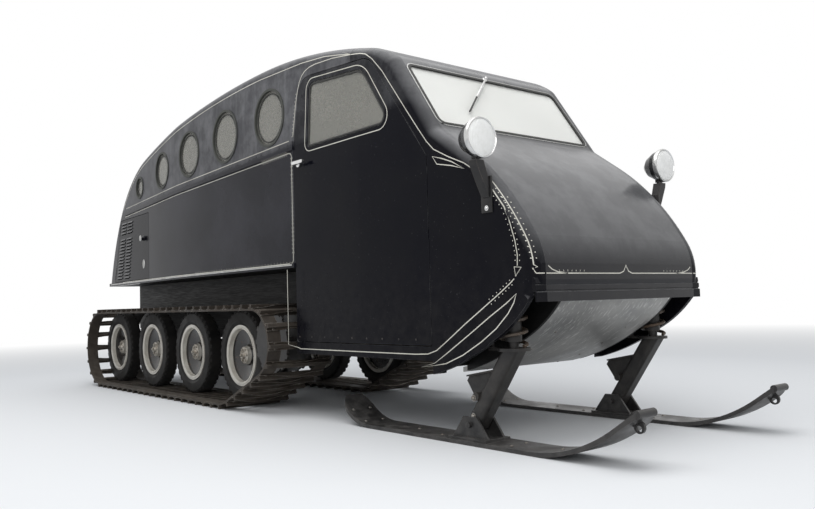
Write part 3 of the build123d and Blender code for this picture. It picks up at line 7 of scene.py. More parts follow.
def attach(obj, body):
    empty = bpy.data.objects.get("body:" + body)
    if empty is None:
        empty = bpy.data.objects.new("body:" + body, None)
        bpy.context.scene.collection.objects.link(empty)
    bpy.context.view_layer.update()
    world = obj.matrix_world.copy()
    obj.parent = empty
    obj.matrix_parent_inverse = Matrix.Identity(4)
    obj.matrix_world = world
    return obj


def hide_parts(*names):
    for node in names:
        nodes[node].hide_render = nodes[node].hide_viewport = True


# A snowcoach: a wooden coach body on two endless tracks, steered by two long skis.
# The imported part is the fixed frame. Metres, +X forward, +Y to its left, +Z up, ground at Z = 0.
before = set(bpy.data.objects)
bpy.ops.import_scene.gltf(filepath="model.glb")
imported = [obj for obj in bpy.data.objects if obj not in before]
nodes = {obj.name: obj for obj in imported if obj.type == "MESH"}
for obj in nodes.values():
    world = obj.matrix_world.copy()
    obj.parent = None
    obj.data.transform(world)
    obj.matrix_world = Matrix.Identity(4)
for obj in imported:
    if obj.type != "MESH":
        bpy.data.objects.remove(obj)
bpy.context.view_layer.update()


# Studio: a pale floor that runs out into white, soft light from overhead and from the front right.
# The camera stands low off the front right corner and looks along the coach.
def new_object(name, data):
    """A new object in the scene."""
    thing = bpy.data.objects.new(name, data)
    bpy.context.scene.collection.objects.link(thing)
    return thing


camera_data = bpy.data.cameras.new("camera")
camera_data.lens = 35.08
camera = new_object("camera", camera_data)
camera_right = Vector((0.6353, 0.7717, -0.0294))
camera_up = Vector((0.0651, -0.0156, 0.9978))
camera_back = Vector((0.7696, -0.6357, -0.0602))
camera_turn = Matrix((camera_right, camera_up, camera_back)).transposed().to_4x4()
camera.matrix_world = Matrix.Translation((4.924, -3.348, 0.699)) @ camera_turn
bpy.context.scene.camera = camera
bpy.context.scene.view_settings.view_transform = "Standard"


def add_node(tree, kind, sockets=None, **settings):
    """A node in a tree with its settings, its sockets set or wired."""
    node = tree.nodes.new(kind)
    for key, value in settings.items():
        setattr(node, key, value)
    for key, value in (sockets or {}).items():
        if isinstance(value, bpy.types.NodeSocket):
            tree.links.new(value, node.inputs[key])
        else:
            node.inputs[key].default_value = value
    return node


def reckon(tree, operation, first, second=0.0, clamp=False):
    """The result of one sum on two numbers."""
    node = add_node(
        tree, "ShaderNodeMath", {0: first, 1: second}, operation=operation, use_clamp=clamp
    )
    return node.outputs[0]


def ramp(tree, value, low, high, bottom=0.0, top=1.0):
    """A number brought from one range to another and held inside it."""
    sockets = {"Value": value, "From Min": low, "From Max": high, "To Min": bottom, "To Max": top}
    return add_node(tree, "ShaderNodeMapRange", sockets).outputs["Result"]


def tint(tree, share, under, over):
    """One colour laid over another by a share."""
    under, over = [(*c, 1.0) if isinstance(c, tuple) else c for c in (under, over)]
    return add_node(tree, "ShaderNodeMix", {0: share, 6: under, 7: over}, data_type="RGBA").outputs[2]


def object_place(tree):
    """The place of a point on its object."""
    return add_node(tree, "ShaderNodeTexCoord").outputs["Object"]


def split(tree, vector):
    """The three numbers of a vector."""
    return add_node(tree, "ShaderNodeSeparateXYZ", {0: vector}).outputs


def noise(tree, place, scale, detail, **more):
    """The strength of a noise at a place."""
    sockets = {"Vector": place, "Scale": scale, "Detail": detail, **more}
    return add_node(tree, "ShaderNodeTexNoise", sockets).outputs[0]


def new_material(name):
    """An empty material, with its node tree."""
    material = bpy.data.materials.new(name)
    material.use_nodes = True
    material.node_tree.nodes.clear()
    return material, material.node_tree


def close_material(tree, shader):
    """Wires a shader to the material's output."""
    add_node(tree, "ShaderNodeOutputMaterial", {"Surface": shader.outputs[0]})


def uneven(tree, height, depth, strength):
    """A normal bent by a height."""
    sockets = {"Height": height, "Distance": depth, "Strength": strength}
    return add_node(tree, "ShaderNodeBump", sockets).outputs[0]


def close_painted(tree, colour, rough, normal, **more):
    """Closes a material with a Principled shader. Further sockets are named with underscores."""
    sockets = {"Base Color": colour, "Roughness": rough, "Normal": normal}
    for key, value in more.items():
        sockets[key.replace("_", " ")] = value
    close_material(tree, add_node(tree, "ShaderNodeBsdfPrincipled", sockets))


world = bpy.data.worlds.new("studio")
bpy.context.scene.world = world
world.use_nodes = True
world.node_tree.nodes.clear()
seen = add_node(world.node_tree, "ShaderNodeLightPath")
seen_straight = reckon(
    world.node_tree, "MAXIMUM", seen.outputs["Is Camera Ray"], seen.outputs["Is Transmission Ray"]
)
seen_at_all = reckon(world.node_tree, "MAXIMUM", seen_straight, seen.outputs["Is Glossy Ray"])
skies = [
    add_node(world.node_tree, "ShaderNodeBackground", {"Color": colour, "Strength": strength})
    for colour, strength in (((0.93, 0.96, 1.0, 1.0), 0.5), ((1.0, 1.0, 1.0, 1.0), 1.0))
]
sky = add_node(
    world.node_tree, "ShaderNodeMixShader",
    {0: seen_at_all, 1: skies[0].outputs[0], 2: skies[1].outputs[0]},
)
add_node(world.node_tree, "ShaderNodeOutputWorld", {"Surface": sky.outputs[0]})

bpy.ops.object.select_all(action="DESELECT")
bpy.ops.mesh.primitive_circle_add(vertices=96, radius=60.0, fill_type="NGON")
floor = bpy.context.object
floor.name = "floor"
floor_paint, tree = new_material("pale_floor")
place = object_place(tree)
distance = add_node(tree, "ShaderNodeVectorMath", {0: place}, operation="LENGTH").outputs["Value"]
matt = add_node(tree, "ShaderNodeBsdfDiffuse", {"Color": (0.86, 0.87, 0.88, 1.0)})
glow = add_node(tree, "ShaderNodeEmission", {"Color": (1.0, 1.0, 1.0, 1.0), "Strength": 1.0})
far = ramp(tree, distance, 5.0, 14.0)
floor_shader = add_node(
    tree, "ShaderNodeMixShader", {0: far, 1: matt.outputs[0], 2: glow.outputs[0]}
)
close_material(tree, floor_shader)
floor.data.materials.append(floor_paint)

for lamp_name, spot, size, watts in (
    ("overhead_light", (0.5, -1.0, 6.5), 8.0, 330.0),
    ("front_light", (6.5, -4.5, 4.0), 4.0, 110.0),
):
    light_data = bpy.data.lights.new(lamp_name, "AREA")
    light_data.size = size
    light_data.energy = watts
    light = new_object(lamp_name, light_data)
    light.location = spot
    aim = Vector((0.0, 0.0, 0.8)) - Vector(spot)
    light.rotation_euler = aim.to_track_quat("-Z", "Y").to_euler()


# Frame, axles and the ironwork under the coach: mild steel brushed with black paint.
# Road dust dries on it from below, and the paint is rubbed off its edges.
def new_effect(name, result, **inputs):
    """An empty effect group of one result, with its two ends."""
    group = bpy.data.node_groups.new(name, "ShaderNodeTree")
    for label, value in inputs.items():
        socket = group.interface.new_socket(
            name=label, in_out="INPUT", socket_type="NodeSocketFloat"
        )
        socket.default_value = value
    group.interface.new_socket(name=result, in_out="OUTPUT", socket_type="NodeSocketFloat")
    entry = group.nodes.new("NodeGroupInput")
    leave = group.nodes.new("NodeGroupOutput")
    return group, entry.outputs, leave.inputs


cloud_effect, given, made = new_effect(
    "cloudy_wear", "Mask", Scale=4.0, Low=0.4, High=0.6, Along=1.0, Upright=1.0
)
place = object_place(cloud_effect)
stretch = add_node(
    cloud_effect, "ShaderNodeCombineXYZ", {0: given["Along"], 1: 1.0, 2: given["Upright"]}
)
stretched = add_node(
    cloud_effect, "ShaderNodeVectorMath", {0: place, 1: stretch.outputs[0]}, operation="MULTIPLY"
)
cloud = noise(cloud_effect, stretched.outputs[0], given["Scale"], 6.0, Roughness=0.62)
cloud_mask = ramp(cloud_effect, cloud, given["Low"], given["High"])
cloud_effect.links.new(cloud_mask, made["Mask"])

edge_effect, given, made = new_effect(
    "rubbed_edges", "Mask", Reach=0.004, Patchiness=9.0, Strength=1.0
)
rounded = add_node(edge_effect, "ShaderNodeBevel", {"Radius": given["Reach"]}, samples=4)
flat = add_node(edge_effect, "ShaderNodeNewGeometry").outputs["Normal"]
turned = add_node(
    edge_effect, "ShaderNodeVectorMath", {0: rounded.outputs[0], 1: flat}, operation="DOT_PRODUCT"
)
bent = ramp(edge_effect, turned.outputs["Value"], 0.985, 0.8)
place = object_place(edge_effect)
patch_mask = ramp(edge_effect, noise(edge_effect, place, given["Patchiness"], 5.0), 0.42, 0.62)
rubbed = reckon(edge_effect, "MULTIPLY", bent, patch_mask)
rubbed = reckon(edge_effect, "MULTIPLY", rubbed, given["Strength"])
edge_effect.links.new(rubbed, made["Mask"])

dust_effect, given, made = new_effect(
    "settled_dust", "Mask", Height=0.5, Fade=0.5, Strength=0.5, Upward=0.2
)
place = object_place(dust_effect)
height = split(dust_effect, place)["Z"]
below = reckon(dust_effect, "SUBTRACT", given["Height"], height)
below = reckon(dust_effect, "DIVIDE", below, given["Fade"], clamp=True)
facing = add_node(dust_effect, "ShaderNodeNewGeometry").outputs["Normal"]
upward = ramp(dust_effect, split(dust_effect, facing)["Z"], 0.3, 0.95)
upward = reckon(dust_effect, "MULTIPLY", upward, given["Upward"])
powder_mask = ramp(dust_effect, noise(dust_effect, place, 17.0, 8.0, Roughness=0.7), 0.36, 0.66)
below = reckon(dust_effect, "MULTIPLY", below, given["Strength"])
dusty = reckon(dust_effect, "MULTIPLY", reckon(dust_effect, "ADD", below, upward), powder_mask)
dust_effect.links.new(dusty, made["Mask"])

grain_effect, given, made = new_effect(
    "fine_grain", "Height", Scale=220.0, Coarse=14.0, Share=0.5
)
place = object_place(grain_effect)
fine = noise(grain_effect, place, given["Scale"], 3.0)
broad = noise(grain_effect, place, given["Coarse"], 4.0)
sockets = {0: given["Share"], 2: fine, 3: broad}
grain_mix = add_node(grain_effect, "ShaderNodeMix", sockets, data_type="FLOAT")
grain_effect.links.new(grain_mix.outputs[0], made["Height"])


def add_effect(tree, effect, **sockets):
    """An effect group placed in a material with its own values."""
    node = tree.nodes.new("ShaderNodeGroup")
    node.node_tree = effect
    for key, value in sockets.items():
        node.inputs[key].default_value = value
    return node.outputs[0]


def workshop_finish(
    name, base, second, rubbed, dust, roughness, metallic=0.0, cloud_scale=5.0, edges=0.7,
    edge_reach=0.004, dust_height=0.6, dust_strength=0.6, upward=0.3, grain=260.0, coarse=18.0,
    grain_share=0.5, depth=0.0005, specular=0.5,
):
    """A painted or bare workshop surface: two tones, rubbed edges, settled dust and a fine grain."""
    material, tree = new_material(name)
    mottled = add_effect(tree, cloud_effect, Scale=cloud_scale, Low=0.35, High=0.65)
    worn = add_effect(tree, edge_effect, Reach=edge_reach, Strength=edges)
    dusty = add_effect(
        tree, dust_effect, Height=dust_height, Fade=dust_height, Strength=dust_strength, Upward=upward
    )
    colour = tint(tree, mottled, base, second)
    colour = tint(tree, worn, colour, rubbed)
    colour = tint(tree, dusty, colour, dust)
    rough = ramp(tree, mottled, 0.0, 1.0, roughness[0], roughness[1])
    rough = reckon(tree, "ADD", rough, reckon(tree, "MULTIPLY", dusty, 0.35), clamp=True)
    height = add_effect(tree, grain_effect, Scale=grain, Coarse=coarse, Share=grain_share)
    close_painted(
        tree, colour, rough, uneven(tree, height, depth, 0.6), Metallic=metallic,
        Specular_IOR_Level=specular,
    )
    return material


def dress(material, *names):
    """Gives CAD nodes their finish."""
    for name in names:
        nodes[name].data.materials.clear()
        nodes[name].data.materials.append(material)


black_steel = workshop_finish(
    "black_steel", (0.012, 0.012, 0.013), (0.03, 0.028, 0.027), (0.16, 0.13, 0.11),
    (0.2, 0.185, 0.165), (0.28, 0.5), metallic=0.1, dust_height=0.9, dust_strength=0.2,
    upward=0.15, specular=0.3,
)
dress(
    black_steel, "frame_rails", "road_axles", "drive_axle", "right_ski_leg",
    "left_ski_leg", "kingpin_housings", "tie_rod", "steering_column", "headlamp_brackets",
)
spring_steel = workshop_finish(
    "spring_steel", (0.03, 0.028, 0.026), (0.09, 0.06, 0.04), (0.3, 0.28, 0.26),
    (0.22, 0.19, 0.16), (0.35, 0.6), metallic=0.5, dust_height=0.9, dust_strength=0.3,
)
dress(spring_steel, "ski_springs")


# Belly pan: one bare steel sheet under the nose, rolled up to meet it.
# Snow and brush have scoured it dull grey, with long scratches from front to back.
belly_paint, tree = new_material("scoured_sheet")
mottled = add_effect(tree, cloud_effect, Scale=3.0, Low=0.35, High=0.65)
scratched = add_effect(tree, cloud_effect, Scale=90.0, Low=0.56, High=0.64, Along=0.04, Upright=0.3)
colour = tint(tree, mottled, (0.24, 0.24, 0.235), (0.42, 0.415, 0.4))
colour = tint(tree, scratched, colour, (0.6, 0.6, 0.58))
worn = add_effect(tree, edge_effect, Reach=0.006, Strength=0.7)
colour = tint(tree, worn, colour, (0.26, 0.25, 0.24))
rough = ramp(tree, mottled, 0.0, 1.0, 0.3, 0.52)
height = add_effect(tree, grain_effect, Scale=150.0, Coarse=6.0, Share=0.7)
close_painted(tree, colour, rough, uneven(tree, height, 0.0012, 0.5), Metallic=0.6)
dress(belly_paint, "belly_pan")


# Body tub: floor, inner walls, shelves and bulkheads of birch plywood, oiled and grimy with use.
# The grain runs along the coach. Everything below a level just under the seats, inside and out,
# is painted near-black: painted shade under the body.
SHADE_LINE = 0.96
plywood, tree = new_material("oiled_plywood")
place = object_place(tree)
drawn = add_node(tree, "ShaderNodeMapping", {"Vector": place, "Scale": (1.2, 14.0, 14.0)})
figure = noise(tree, drawn.outputs[0], 2.2, 8.0, Distortion=1.4)
pores = add_node(tree, "ShaderNodeMapping", {"Vector": place, "Scale": (9.0, 260.0, 260.0)})
pore = noise(tree, pores.outputs[0], 1.0, 3.0)
grained = ramp(tree, figure, 0.35, 0.65)
colour = tint(tree, grained, (0.23, 0.125, 0.055), (0.36, 0.22, 0.11))
colour = tint(tree, ramp(tree, pore, 0.6, 0.75), colour, (0.1, 0.05, 0.025))
dusty = add_effect(tree, dust_effect, Height=0.9, Fade=0.7, Strength=0.8, Upward=0.25)
colour = tint(tree, dusty, colour, (0.09, 0.075, 0.062))
# Below this level the wood is painted near-black: painted shade under the body and between it and the
# tracks.
painted_shade_below = ramp(tree, split(tree, place)["Z"], SHADE_LINE, SHADE_LINE - 0.005)
colour = tint(tree, painted_shade_below, colour, (0.006, 0.006, 0.006))
worn = add_effect(tree, edge_effect, Reach=0.005, Strength=0.3)
colour = tint(tree, worn, colour, (0.16, 0.12, 0.08))
rough = ramp(tree, pore, 0.3, 0.7, 0.42, 0.68)
normal = uneven(tree, pore, 0.0006, 0.5)
close_painted(tree, colour, rough, normal, Specular_IOR_Level=0.2)
dress(plywood, "body_tub")


# Engine: a cast-iron block with its gearbox and radiator, in the rear of the body.
# It is brushed grey-green, and heat and oil have browned it.
engine_iron = workshop_finish(
    "engine_iron", (0.05, 0.065, 0.055), (0.09, 0.075, 0.05), (0.2, 0.17, 0.14),
    (0.06, 0.05, 0.04), (0.45, 0.75), metallic=0.2, dust_height=1.3, dust_strength=0.5,
    depth=0.002, coarse=60.0,
)
dress(engine_iron, "engine_block")


# Body panels: plywood skins over ash ribs, sprayed a navy so deep that it reads black. The gloss
# holds below the side moulding, with broad paler patches painted in as reflection of the sky, and
# above it the lacquer is hazy, mottled and streaked, its paler cloudy patches partly painted sky
# reflection. Upward faces carry a painted grey sheen of the sky. The sides bend inwards towards
# the rear, and the shading eases that bend over a metre.
MOULDING_Z = 1.69
MOULDING_RISE = 0.0305
BEND_X = -1.2
BEND_EASE = 0.6
BEND_SLOPE = 0.054


def coach_lacquer(name, haze, gloss, painted_reflection_tone, painted_top_sheen):
    """The body paint: haze above the side moulding, partly painted sky reflection; gloss; the share
    of painted sky reflection in the gloss below it; and a painted sky sheen on its upward faces.
    """
    material, tree = new_material(name)
    place = split(tree, object_place(tree))
    moulding = reckon(tree, "MULTIPLY", place["X"], MOULDING_RISE)
    above = reckon(tree, "SUBTRACT", place["Z"], moulding)
    above = ramp(tree, above, MOULDING_Z, MOULDING_Z + 0.045)
    blotch = add_effect(tree, cloud_effect, Scale=5.5, Low=0.42, High=0.62)
    streak = add_effect(tree, cloud_effect, Scale=24.0, Low=0.46, High=0.74, Upright=0.12)
    film = add_effect(tree, cloud_effect, Scale=1.6, Low=0.3, High=0.72)
    speck = add_effect(tree, cloud_effect, Scale=95.0, Low=0.66, High=0.74)
    # Above the side moulding the lacquer is hazy, and its paler cloudy patches and streaks are partly
    # painted reflection of a cloudy sky.
    patchy = ramp(tree, blotch, 0.0, 1.0, 0.3, 0.85)
    haze_and_painted_sky = reckon(tree, "ADD", patchy, reckon(tree, "MULTIPLY", streak, 0.3))
    haze_and_painted_sky = reckon(tree, "MULTIPLY", haze_and_painted_sky, above)
    haze_and_painted_sky = reckon(tree, "MULTIPLY", haze_and_painted_sky, haze)
    # Below the moulding, broad paler patches in the near-black are painted reflection of the sky in
    # the gloss.
    lower_gloss_and_reflection = tint(tree, film, (0.002, 0.0022, 0.0055), (painted_reflection_tone, painted_reflection_tone, painted_reflection_tone * 1.3))
    colour = tint(tree, haze_and_painted_sky, lower_gloss_and_reflection, (0.15, 0.15, 0.157))
    # Faces that turn upwards are painted paler grey in cloudy patches: a painted sheen of the sky on
    # the tops.
    facing = add_node(tree, "ShaderNodeNewGeometry").outputs["Normal"]
    lifted = split(tree, facing)["Z"]
    clouded = ramp(tree, blotch, 0.0, 1.0, 0.7, 1.0)
    top_sheen_mask = reckon(tree, "MULTIPLY", ramp(tree, lifted, 0.1, 0.9), clouded)
    colour = tint(tree, reckon(tree, "MULTIPLY", top_sheen_mask, painted_top_sheen), colour, (0.2, 0.2, 0.205))
    dusty = add_effect(tree, dust_effect, Height=1.0, Fade=0.5, Strength=0.07, Upward=0.03)
    colour = tint(tree, dusty, colour, (0.13, 0.12, 0.11))
    colour = tint(tree, reckon(tree, "MULTIPLY", speck, 0.25), colour, (0.3, 0.3, 0.3))
    worn = add_effect(tree, edge_effect, Reach=0.004, Strength=0.35)
    colour = tint(tree, worn, colour, (0.2, 0.2, 0.2))
    rough = ramp(tree, film, 0.0, 1.0, 0.15, 0.28)
    rough = reckon(tree, "ADD", rough, reckon(tree, "MULTIPLY", haze_and_painted_sky, 0.35))
    rough = reckon(tree, "ADD", rough, reckon(tree, "MULTIPLY", dusty, 0.4), clamp=True)
    height = add_effect(tree, grain_effect, Scale=320.0, Coarse=5.0, Share=0.8)
    grained = uneven(tree, height, 0.0012, 0.25)
    from_bend = reckon(tree, "ABSOLUTE", reckon(tree, "SUBTRACT", place["X"], BEND_X))
    near_bend = reckon(tree, "SUBTRACT", BEND_EASE, from_bend, clamp=True)
    eased = reckon(tree, "MULTIPLY", near_bend, -BEND_SLOPE / (4.0 * BEND_EASE))
    eased = reckon(tree, "MULTIPLY", near_bend, eased)
    normal = add_node(
        tree, "ShaderNodeBump", {"Height": eased, "Distance": 1.0, "Strength": 1.0, "Normal": grained}
    )
    close_painted(tree, colour, rough, normal.outputs[0], Specular_IOR_Level=gloss)
    return material


side_lacquer = coach_lacquer("side_lacquer", 1.0, 0.1, 0.024, 0.8)
front_lacquer = coach_lacquer("front_lacquer", 0.3, 0.06, 0.006, 1.0)
nose_lacquer = coach_lacquer("nose_lacquer", 0.3, 0.32, 0.006, 1.0)
dress(side_lacquer, "right_side_panel", "left_side_panel", "roof_panel", "rear_panel")
dress(
    front_lacquer, "right_cheek_panel", "left_cheek_panel", "right_door", "left_door",
    "right_engine_door", "left_engine_door",
)
dress(nose_lacquer, "nose_panel", "windshield_frame")


# Glazing: flat safety glass in the doors, portholes and screen, filmed with a little dust.
# The screen is the haziest, a pale grey-green.
def window_pane(name, colour, film_colour, film_share, roughness):
    """Glass with a patchy film of dust on it."""
    material, tree = new_material(name)
    film = add_effect(tree, cloud_effect, Scale=2.2, Low=0.1, High=0.9)
    wiped = add_effect(tree, cloud_effect, Scale=60.0, Low=0.4, High=0.9)
    wiped = reckon(tree, "MULTIPLY", wiped, 0.15)
    film = reckon(tree, "ADD", reckon(tree, "MULTIPLY", film, 0.3), wiped)
    film = reckon(tree, "MULTIPLY", reckon(tree, "ADD", film, 0.8), film_share)
    colour = tint(tree, film, colour, film_colour)
    rough = ramp(tree, film, 0.0, 1.0, roughness, roughness + 0.3)
    glass = add_node(
        tree, "ShaderNodeBsdfPrincipled",
        {"Base Color": colour, "Roughness": rough, "Transmission Weight": 1.0, "IOR": 1.45},
    )
    dust = add_node(tree, "ShaderNodeBsdfDiffuse", {"Color": (*film_colour, 1.0)})
    sockets = {0: film, 1: glass.outputs[0], 2: dust.outputs[0]}
    pane = add_node(tree, "ShaderNodeMixShader", sockets)
    close_material(tree, pane)
    return material


door_pane = window_pane("door_pane", (0.86, 0.87, 0.84), (0.4, 0.39, 0.35), 0.42, 0.02)
screen_pane = window_pane("screen_pane", (0.92, 0.93, 0.91), (0.9, 0.9, 0.86), 0.84, 0.06)
dress(door_pane, "right_door_glass", "left_door_glass", "porthole_glass")
dress(screen_pane, "windshield_glass")


# Small fittings: chromed handles and wiper, rubber porthole rims, a moulded steering wheel,
# and brown leathercloth on the seats.
bright_chrome = workshop_finish(
    "bright_chrome", (0.72, 0.72, 0.72), (0.55, 0.55, 0.54), (0.8, 0.8, 0.78),
    (0.3, 0.28, 0.25), (0.08, 0.24), metallic=1.0, dust_strength=0.1, depth=0.0001, edges=0.3,
)
dress(bright_chrome, "right_door_handle", "left_door_handle", "wiper")
rim_rubber = workshop_finish(
    "rim_rubber", (0.022, 0.024, 0.02), (0.05, 0.052, 0.045), (0.09, 0.09, 0.08),
    (0.14, 0.135, 0.12), (0.5, 0.75), edges=0.4, dust_strength=0.2, upward=0.4, grain=400.0,
)
dress(rim_rubber, "porthole_rims")
wheel_plastic = workshop_finish(
    "wheel_plastic", (0.012, 0.012, 0.012), (0.025, 0.024, 0.023), (0.07, 0.065, 0.06),
    (0.1, 0.09, 0.08), (0.25, 0.45), edges=0.3, dust_strength=0.1,
)
dress(wheel_plastic, "steering_wheel")
seat_leather = workshop_finish(
    "seat_leather", (0.06, 0.028, 0.015), (0.1, 0.05, 0.028), (0.2, 0.12, 0.07),
    (0.12, 0.1, 0.08), (0.38, 0.6), edges=0.4, dust_strength=0.1, depth=0.0008,
)
dress(seat_leather, "front_seat", "side_benches")


# Wheels: pressed steel discs in black enamel on cream rims, with rubber tyres, inside the tracks.
# The belts are of black rubber, and the skis of steel painted black.
TRACK_Y = 0.61
WHEEL_Z = 0.3578
FRONT_WHEEL_X = -0.219
WHEEL_PITCH = 0.81
RIM_RADIUS = 0.184
HUB_RADIUS = 0.067
LINE_BLUR = 0.0005
wheel_paint = workshop_finish(
    "wheel_paint", (0.7, 0.67, 0.6), (0.52, 0.49, 0.43), (0.14, 0.08, 0.05),
    (0.16, 0.14, 0.12), (0.3, 0.5), edges=0.6, dust_height=0.6, dust_strength=0.3,
)
disc_enamel, tree = new_material("disc_enamel")
spot = split(tree, object_place(tree))
along = reckon(tree, "SUBTRACT", spot["X"], FRONT_WHEEL_X)
sockets = {0: along, 1: WHEEL_PITCH / 2, 2: -WHEEL_PITCH / 2}
along = add_node(tree, "ShaderNodeMath", sockets, operation="WRAP").outputs[0]
upward = reckon(tree, "SUBTRACT", spot["Z"], WHEEL_Z)
across = add_node(tree, "ShaderNodeCombineXYZ", {0: along, 2: upward}).outputs[0]
radius = add_node(tree, "ShaderNodeVectorMath", {0: across}, operation="LENGTH").outputs["Value"]
mottled = add_effect(tree, cloud_effect, Scale=9.0, Low=0.35, High=0.65)
rusty = add_effect(tree, cloud_effect, Scale=26.0, Low=0.56, High=0.66)
worn = add_effect(tree, edge_effect, Reach=0.004, Strength=0.4)
dusty = add_effect(tree, dust_effect, Height=0.5, Fade=0.5, Strength=0.12, Upward=0.2)
cream = tint(tree, mottled, (0.7, 0.67, 0.6), (0.52, 0.49, 0.43))
black = tint(tree, mottled, (0.006, 0.006, 0.006), (0.016, 0.014, 0.013))
on_rim = ramp(tree, radius, RIM_RADIUS - LINE_BLUR, RIM_RADIUS + LINE_BLUR)
on_hub = ramp(tree, radius, HUB_RADIUS + LINE_BLUR, HUB_RADIUS - LINE_BLUR)
colour = tint(tree, on_rim, black, cream)
colour = tint(tree, on_hub, colour, (0.34, 0.32, 0.28))
colour = tint(tree, reckon(tree, "MULTIPLY", rusty, 0.25), colour, (0.13, 0.06, 0.03))
colour = tint(tree, worn, colour, (0.16, 0.09, 0.055))
colour = tint(tree, dusty, colour, (0.17, 0.15, 0.125))
rough = ramp(tree, mottled, 0.0, 1.0, 0.1, 0.22)
rough = reckon(tree, "ADD", rough, reckon(tree, "MULTIPLY", dusty, 0.5))
height = add_effect(tree, grain_effect, Scale=240.0, Coarse=16.0, Share=0.5)
close_painted(tree, colour, rough, uneven(tree, height, 0.0006, 0.5))
dress(disc_enamel, "wheel_discs")
tyre_rubber = workshop_finish(
    "tyre_rubber", (0.006, 0.006, 0.006), (0.013, 0.012, 0.011), (0.04, 0.038, 0.035),
    (0.1, 0.09, 0.08), (0.42, 0.7), edges=0.5, dust_height=0.5, dust_strength=0.15, upward=0.08,
    specular=0.18,
)
dress(tyre_rubber, "right_tyres", "left_tyres")
belt_rubber = workshop_finish(
    "belt_rubber", (0.022, 0.018, 0.015), (0.05, 0.04, 0.032), (0.3, 0.27, 0.24),
    (0.17, 0.15, 0.125), (0.5, 0.8), edges=0.8, dust_height=0.9, dust_strength=0.3, specular=0.25,
)
dress(belt_rubber, "right_track", "left_track")
ski_steel = workshop_finish(
    "ski_steel", (0.014, 0.014, 0.015), (0.035, 0.033, 0.032), (0.2, 0.19, 0.18),
    (0.2, 0.19, 0.18), (0.28, 0.55), metallic=0.3, dust_height=0.3, dust_strength=0.3,
)
dress(ski_steel, "right_ski", "left_ski")


# Pinstripes: cream enamel lines 5 mm wide, laid on the lacquer by hand with a striping brush.
# Each is drawn as a flat line, widened to a ribbon and pressed on to the panel that carries it.
pinstripe_enamel = workshop_finish(
    "pinstripe_enamel", (0.72, 0.7, 0.62), (0.56, 0.54, 0.47), (0.3, 0.29, 0.26),
    (0.4, 0.38, 0.34), (0.3, 0.5), edges=0.2, dust_strength=0.1, grain=500.0, depth=0.0002,
)
HANDS = (("right", -1), ("left", 1))
STRIPE_WIDTH = 0.005
PAINT_THICKNESS = 0.0006
SIDE_PLANE = 0.76
PUT_UPRIGHT = Matrix.Rotation(math.radians(90.0), 4, "X")
STATIONS = [BEND_X, 1.3, *(n * 0.05 - 3.0 for n in range(110))]


def hold(piece):
    """Makes a piece the only selected one."""
    bpy.ops.object.select_all(action="DESELECT")
    piece.select_set(True)
    bpy.context.view_layer.objects.active = piece


def work(piece, kind, **settings):
    """Puts a modifier on a piece, sets it and applies it."""
    modifier = piece.modifiers.new(kind, kind)
    for key, value in settings.items():
        setattr(modifier, key, value)
    hold(piece)
    bpy.ops.object.modifier_apply(modifier=modifier.name)


def close_piece(piece, material, body, smooth=40.0):
    """Sets a finished piece's place in its mesh, and gives it its finish and body."""
    hold(piece)
    bpy.ops.object.transform_apply(location=True, rotation=True, scale=True)
    if smooth:
        bpy.ops.object.shade_smooth_by_angle(angle=math.radians(smooth))
    piece.data.materials.clear()
    piece.data.materials.append(material)
    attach(piece, body)
    return piece


def add_line(name, points, closed=False):
    """A flat line of edges through points."""
    mesh = bpy.data.meshes.new(name)
    edges = [(n, n + 1) for n in range(len(points) - 1)]
    if closed:
        edges.append((len(points) - 1, 0))
    mesh.from_pydata([(across, upward, 0.0) for across, upward in points], edges, [])
    return new_object(name, mesh)


def widen(line, width):
    """Turns a flat line into a flat ribbon."""
    hold(line)
    bpy.ops.object.convert(target="CURVE")
    line.data.dimensions = "3D"
    line.data.twist_mode = "Z_UP"
    for spline in line.data.splines:
        for point in spline.points:
            point.tilt = math.radians(90.0)
    line.data.extrude = width / 2
    bpy.ops.object.convert(target="MESH")


def beside(side):
    """The way on to a side of the coach: an axis, its sign, and the turn from lying flat."""
    return "Y", side, Matrix.Translation((0.0, side * SIDE_PLANE, 0.0)) @ PUT_UPRIGHT


def press_on(piece, panel, way, lift=PAINT_THICKNESS):
    """Turns a flat piece upright and presses it on to a panel, from outside it."""
    axis, sign, turn = way
    piece.data.transform(turn)
    work(
        piece, "SHRINKWRAP", target=nodes[panel], wrap_method="PROJECT", offset=lift,
        use_project_x=axis == "X", use_project_y=axis == "Y",
        use_positive_direction=sign < 0, use_negative_direction=sign > 0,
    )


def stiffen(piece, thickness):
    """Gives a sheet its thickness and turns its faces outwards."""
    work(piece, "SOLIDIFY", thickness=thickness, offset=0.0)
    bpy.ops.object.mode_set(mode="EDIT")
    bpy.ops.mesh.select_all(action="SELECT")
    bpy.ops.mesh.normals_make_consistent(inside=False)
    bpy.ops.object.mode_set(mode="OBJECT")


def cut_at_stations(piece):
    """Adds a row of points to a flat ribbon wherever the panel under it changes direction."""
    hold(piece)
    bpy.ops.object.mode_set(mode="EDIT")
    for station in STATIONS:
        bpy.ops.mesh.select_all(action="SELECT")
        bpy.ops.mesh.bisect(plane_co=(station, 0.0, 0.0), plane_no=(1.0, 0.0, 0.0))
    bpy.ops.object.mode_set(mode="OBJECT")


def add_stripe(name, points, panel, way, body="coach", closed=False, width=STRIPE_WIDTH):
    """A pinstripe on a panel, from points across it and up it."""
    line = add_line(name, points, closed)
    widen(line, width)
    if way[0] == "Y":
        cut_at_stations(line)
    press_on(line, panel, way)
    stiffen(line, PAINT_THICKNESS)
    return close_piece(line, pinstripe_enamel, body, smooth=None)


